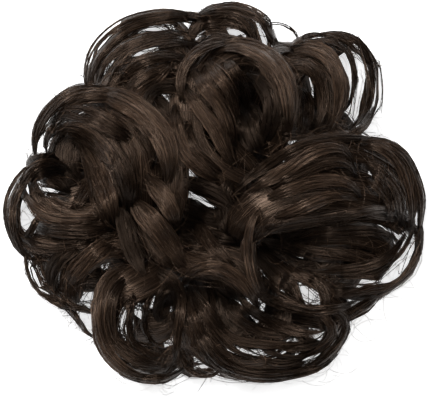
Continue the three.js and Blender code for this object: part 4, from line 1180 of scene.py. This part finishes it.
def frizzPiece():
    work = frizzWork
    rng = np.random.default_rng(63)
    local = np.linspace(0, 1, work["rings"])
    rows = []
    for place, spread, smallest, largest, count in frizzSpots:
        centre = np.array(place) + rng.normal(0, spread / 2, (count, 2))
        size = rng.uniform(smallest, largest, count)[:, None]
        turn = rng.random(count)[:, None] * 2 * np.pi
        turn = turn + local[None, :] * rng.uniform(*work["turn"], count)[:, None]
        grown = size * (1 + work["opening"] * rng.normal(0, 1, count)[:, None] * local[None, :])
        height = rng.uniform(*work["height"], count)[:, None] + 2 * np.sin(np.pi * local)[None, :]
        x, y = centre[:, :1] + grown * np.cos(turn), centre[:, 1:] + work["flattened"] * grown * np.sin(turn)
        rows.append(np.stack([x, y, height * np.ones_like(x), turn], axis=-1))
    rows = np.concatenate(rows)
    middle, turn = rows[..., :3], rows[..., 3]
    radius = work["radius"] * blendTo(1, 0.5, local)
    return loosePiece("frizz_loops", middle, levelSides(np.cos(turn), np.sin(turn)), radius, paintedGlintFibre, rng)


underMat = {
    "count": 1000,
    "rings": 9,
    "reach": (34, 62),  # mm from the band's middle
    "within": 74,
    "heading": 0.9,  # radians off the way round
    "bend": 2.2,
    "length": (16, 34),
    "height": (0.8, 8.0),
    "radius": 0.16,
    "covered": 0.45,  # the least share of one that lies under the curls
}


def underMatPiece():
    # the lowest fibres, which close the spaces between the curls but for the gaps
    mat = underMat
    rng = np.random.default_rng(41)
    count, rings, (inner, outer) = mat["count"], mat["rings"], mat["reach"]
    bearing = rng.random(count) * 2 * np.pi
    reach = np.sqrt(rng.uniform(inner ** 2, outer ** 2, count))
    centre = np.stack([reach * np.cos(bearing), reach * np.sin(bearing)], axis=-1)
    heading = bearing + rng.normal(np.pi / 2, mat["heading"], count)
    bend = rng.normal(0, mat["bend"], count)
    length = rng.uniform(*mat["length"], count)
    local = np.linspace(0, 1, rings)
    run, angle = curvedRuns(heading, bend[:, None] * (local[None, :] - 0.5), length, rings)
    flat = centre[:, None, :] + run - run[:, rings // 2][:, None, :]
    away = np.hypot(flat[..., 0], flat[..., 1])
    base = rng.uniform(*mat["height"], count)[:, None] * (1.15 - 0.75 * np.clip(away / 75, 0, 1) ** 3)
    rise = np.maximum(base + 1.2 * np.sin(np.pi * local)[None, :], mat["height"][0])
    middle = partStrands(np.concatenate([flat, rise[..., None]], axis=-1))
    keep = ~insidePartings(middle[..., :2], partingEdge["touching"]).any(axis=1)
    cell = ((middle[..., :2] + drape["reach"]) / drape["pitch"]).astype(int)
    cell = np.clip(cell, 0, len(solidFound) - 1)
    keep &= solidFound[cell[..., 1], cell[..., 0]].mean(axis=1) > mat["covered"]
    keep &= (away < mat["within"]).all(axis=1)
    middle, angle = outsideGaps((middle[keep], angle[keep]), rng)
    radius = mat["radius"] * blendTo(1, 0.5, np.abs(2 * local - 1) ** 3)
    sides = levelSides(-np.sin(angle), np.cos(angle))
    # the lowest fibres take the painted-shade copy
    return loosePiece("under_fibres", middle, sides, radius, shadedPair[0], rng)


strayPiece()
print("single hairs made, with", frizzPiece(), "loops and", underMatPiece(), "low fibres")


# the wound base and the band

woundWork = {
    "steps": 168,  # round the band
    "inner": 3.85,  # mm from the cord's middle
    "gathers": 14,
    "gatherDepth": 0.7,
    "pleat": 0.22,
    "arc": 14,  # corners over the outer side
    "innerArc": 9,
    "low": 0.35,  # mm above the table
}
wrapWork = {
    "count": 330,
    "rings": 13,
    "radius": 0.17,
    "slant": (0.10, 0.05),  # radians and their scatter
    "over": 0.25,  # radians that a turn goes on under the base
    "proud": 0.12,
    "uneven": 0.22,
    "lowest": 0.5,
}
bandWork = {"cord": 7, "steps": 180, "sides": 18, "ribs": 60, "ribDepth": 0.12}


def ringForm(profile, steps):
    # a closed ring from the profile's corners at each bearing
    points = []
    for bearing in 2 * np.pi * np.arange(steps) / steps:
        corners = profile(bearing)
        for radius, height in corners:
            points.append((radius * math.cos(bearing), radius * math.sin(bearing), height))
    sides = len(corners)
    bearings = np.repeat(np.linspace(0, 1, steps), sides)
    fibreMap = np.column_stack([bearings, np.tile(np.linspace(0, 1, sides), steps)])
    return {"points": np.array(points), "quads": tubeFaces(1, steps, sides, closed=True),
            "triangles": np.zeros((0, 3), dtype=int), "fibreMap": fibreMap}


def woundProfile(bearing):
    shape, work = lockShape, woundWork
    ripple = work["gatherDepth"] / 2 * math.cos(bearing * work["gathers"])
    pleat = work["pleat"] * math.cos(bearing * work["gathers"] * 6)
    outer, inner, low = shape["woundOuter"] + ripple + pleat, work["inner"], work["low"]

    def arched(size, start, end, count):
        angles = np.linspace(start, end, count)
        return [(shape["bandRadius"] + size * math.cos(angle), shape["cordMiddle"] + size * math.sin(angle))
                for angle in angles]

    return ([(shape["bandRadius"] + outer, low)] + arched(outer, 0, math.pi, work["arc"])
            + [(shape["bandRadius"] - outer, low), (shape["bandRadius"] - inner, low)]
            + arched(inner, math.pi, 0, work["innerArc"]) + [(shape["bandRadius"] + inner, low)])


def wrapPiece():
    # the turns of fibre over the base
    shape, work = lockShape, wrapWork
    rng = np.random.default_rng(5)
    count = work["count"]
    bearing = np.linspace(0, 2 * np.pi, count, endpoint=False) + rng.normal(0, 0.01, count)
    slant = rng.normal(*work["slant"], count)
    local = np.linspace(0, 1, work["rings"])[None, :]
    turn = bearing[:, None] + slant[:, None] * (local - 0.5)
    angle = blendTo(-work["over"], math.pi + work["over"], local) * np.ones((count, 1))
    gathered = woundWork["gatherDepth"] / 2 * np.cos(turn * woundWork["gathers"])
    outer = shape["woundOuter"] + work["proud"] + gathered + work["uneven"] * rng.random(count)[:, None]
    radius = shape["bandRadius"] + outer * np.cos(angle)
    height = np.maximum(shape["cordMiddle"] + outer * np.sin(angle), work["lowest"])
    middle = np.stack([radius * np.cos(turn), radius * np.sin(turn), height], axis=-1)
    across = np.stack([-np.sin(turn), np.cos(turn), np.zeros_like(turn)], axis=-1)
    outward = np.stack([np.cos(angle) * np.cos(turn), np.cos(angle) * np.sin(turn), np.sin(angle)], axis=-1)
    loosePiece("wound_strands", middle, (across, outward), work["radius"], middlePair[0], rng)


def bandProfile(bearing):
    work = bandWork
    corners = []
    for angle in np.linspace(0, 2 * np.pi, work["sides"], endpoint=False):
        rib = work["ribDepth"] * math.cos(work["ribs"] * bearing + 3 * angle)
        size = work["cord"] / 2 - work["ribDepth"] + rib
        x = lockShape["bandRadius"] + size * math.sin(angle)
        height = lockShape["cordMiddle"] - size * math.cos(angle)
        corners.append((x, max(0.0, height)))
    return corners


meshPiece("wound_base", ringForm(woundProfile, woundWork["steps"]), [middlePair[1]], stands="hair_base")
wrapPiece()
meshPiece("knit_band", ringForm(bandProfile, bandWork["steps"]), [bandKnit], stands="elastic_band")
print("wound base and band made")


# table, light and camera

stageLook = {
    "floor": (0.92, 0.92, 0.92, 1),
    "floorSize": 6.0,
    "glow": 0.64,
    "world": 0.08,
    "key": {"place": (-0.45, 0.50, 0.95), "size": 0.45, "energy": 16.0},
    "top": {"place": (0.05, 0.12, 1.20), "size": 0.6, "energy": 8.0},
}
cameraView = {"centre": (3.0, -4.4), "plane": 18.0, "lens": 400.0, "width": 166.35}


def addFloor():
    half = stageLook["floorSize"] / 2
    mesh = bpy.data.meshes.new("table_top")
    mesh.from_pydata([(-half, -half, 0), (half, -half, 0), (half, half, 0), (-half, half, 0)], [], [(0, 1, 2, 3)])
    material = bpy.data.materials.new("paleTable")
    material.use_nodes = True
    shader = material.node_tree.nodes["Principled BSDF"]
    shader.inputs["Base Color"].default_value = stageLook["floor"]
    shader.inputs["Roughness"].default_value = 0.9
    shader.inputs["Specular IOR Level"].default_value = 0.1
    shader.inputs["Emission Color"].default_value = (1, 1, 1, 1)
    shader.inputs["Emission Strength"].default_value = stageLook["glow"]
    mesh.materials.append(material)
    floor = bpy.data.objects.new("table_top", mesh)
    bpy.context.scene.collection.objects.link(floor)


def addLight(name, values):
    light = bpy.data.lights.new(name, "AREA")
    light.shape = "SQUARE"
    light.size = values["size"]
    light.energy = values["energy"]
    lamp = bpy.data.objects.new(name, light)
    lamp.location = values["place"]
    lamp.visible_camera = False
    towards = -lamp.location.normalized()
    lamp.rotation_euler = towards.to_track_quat("-Z", "Y").to_euler()
    bpy.context.scene.collection.objects.link(lamp)


def addCamera():
    lens = bpy.data.cameras.new("photoView")
    lens.lens = cameraView["lens"]
    lens.sensor_width = 36.0
    lens.clip_end = 20.0
    distance = cameraView["width"] * mm * lens.lens / lens.sensor_width
    x, y = cameraView["centre"]
    viewer = bpy.data.objects.new("photoView", lens)
    viewer.location = (x * mm, y * mm, cameraView["plane"] * mm + distance)
    bpy.context.scene.collection.objects.link(viewer)
    bpy.context.scene.camera = viewer


addFloor()
addLight("keyLight", stageLook["key"])
addLight("topLight", stageLook["top"])
addCamera()
world = bpy.data.worlds.new("studio")
world.use_nodes = True
world.node_tree.nodes["Background"].inputs["Color"].default_value = (1, 1, 1, 1)
world.node_tree.nodes["Background"].inputs["Strength"].default_value = stageLook["world"]
bpy.context.scene.world = world
bpy.context.scene.view_settings.view_transform = "Standard"
print("stage, light and camera set")
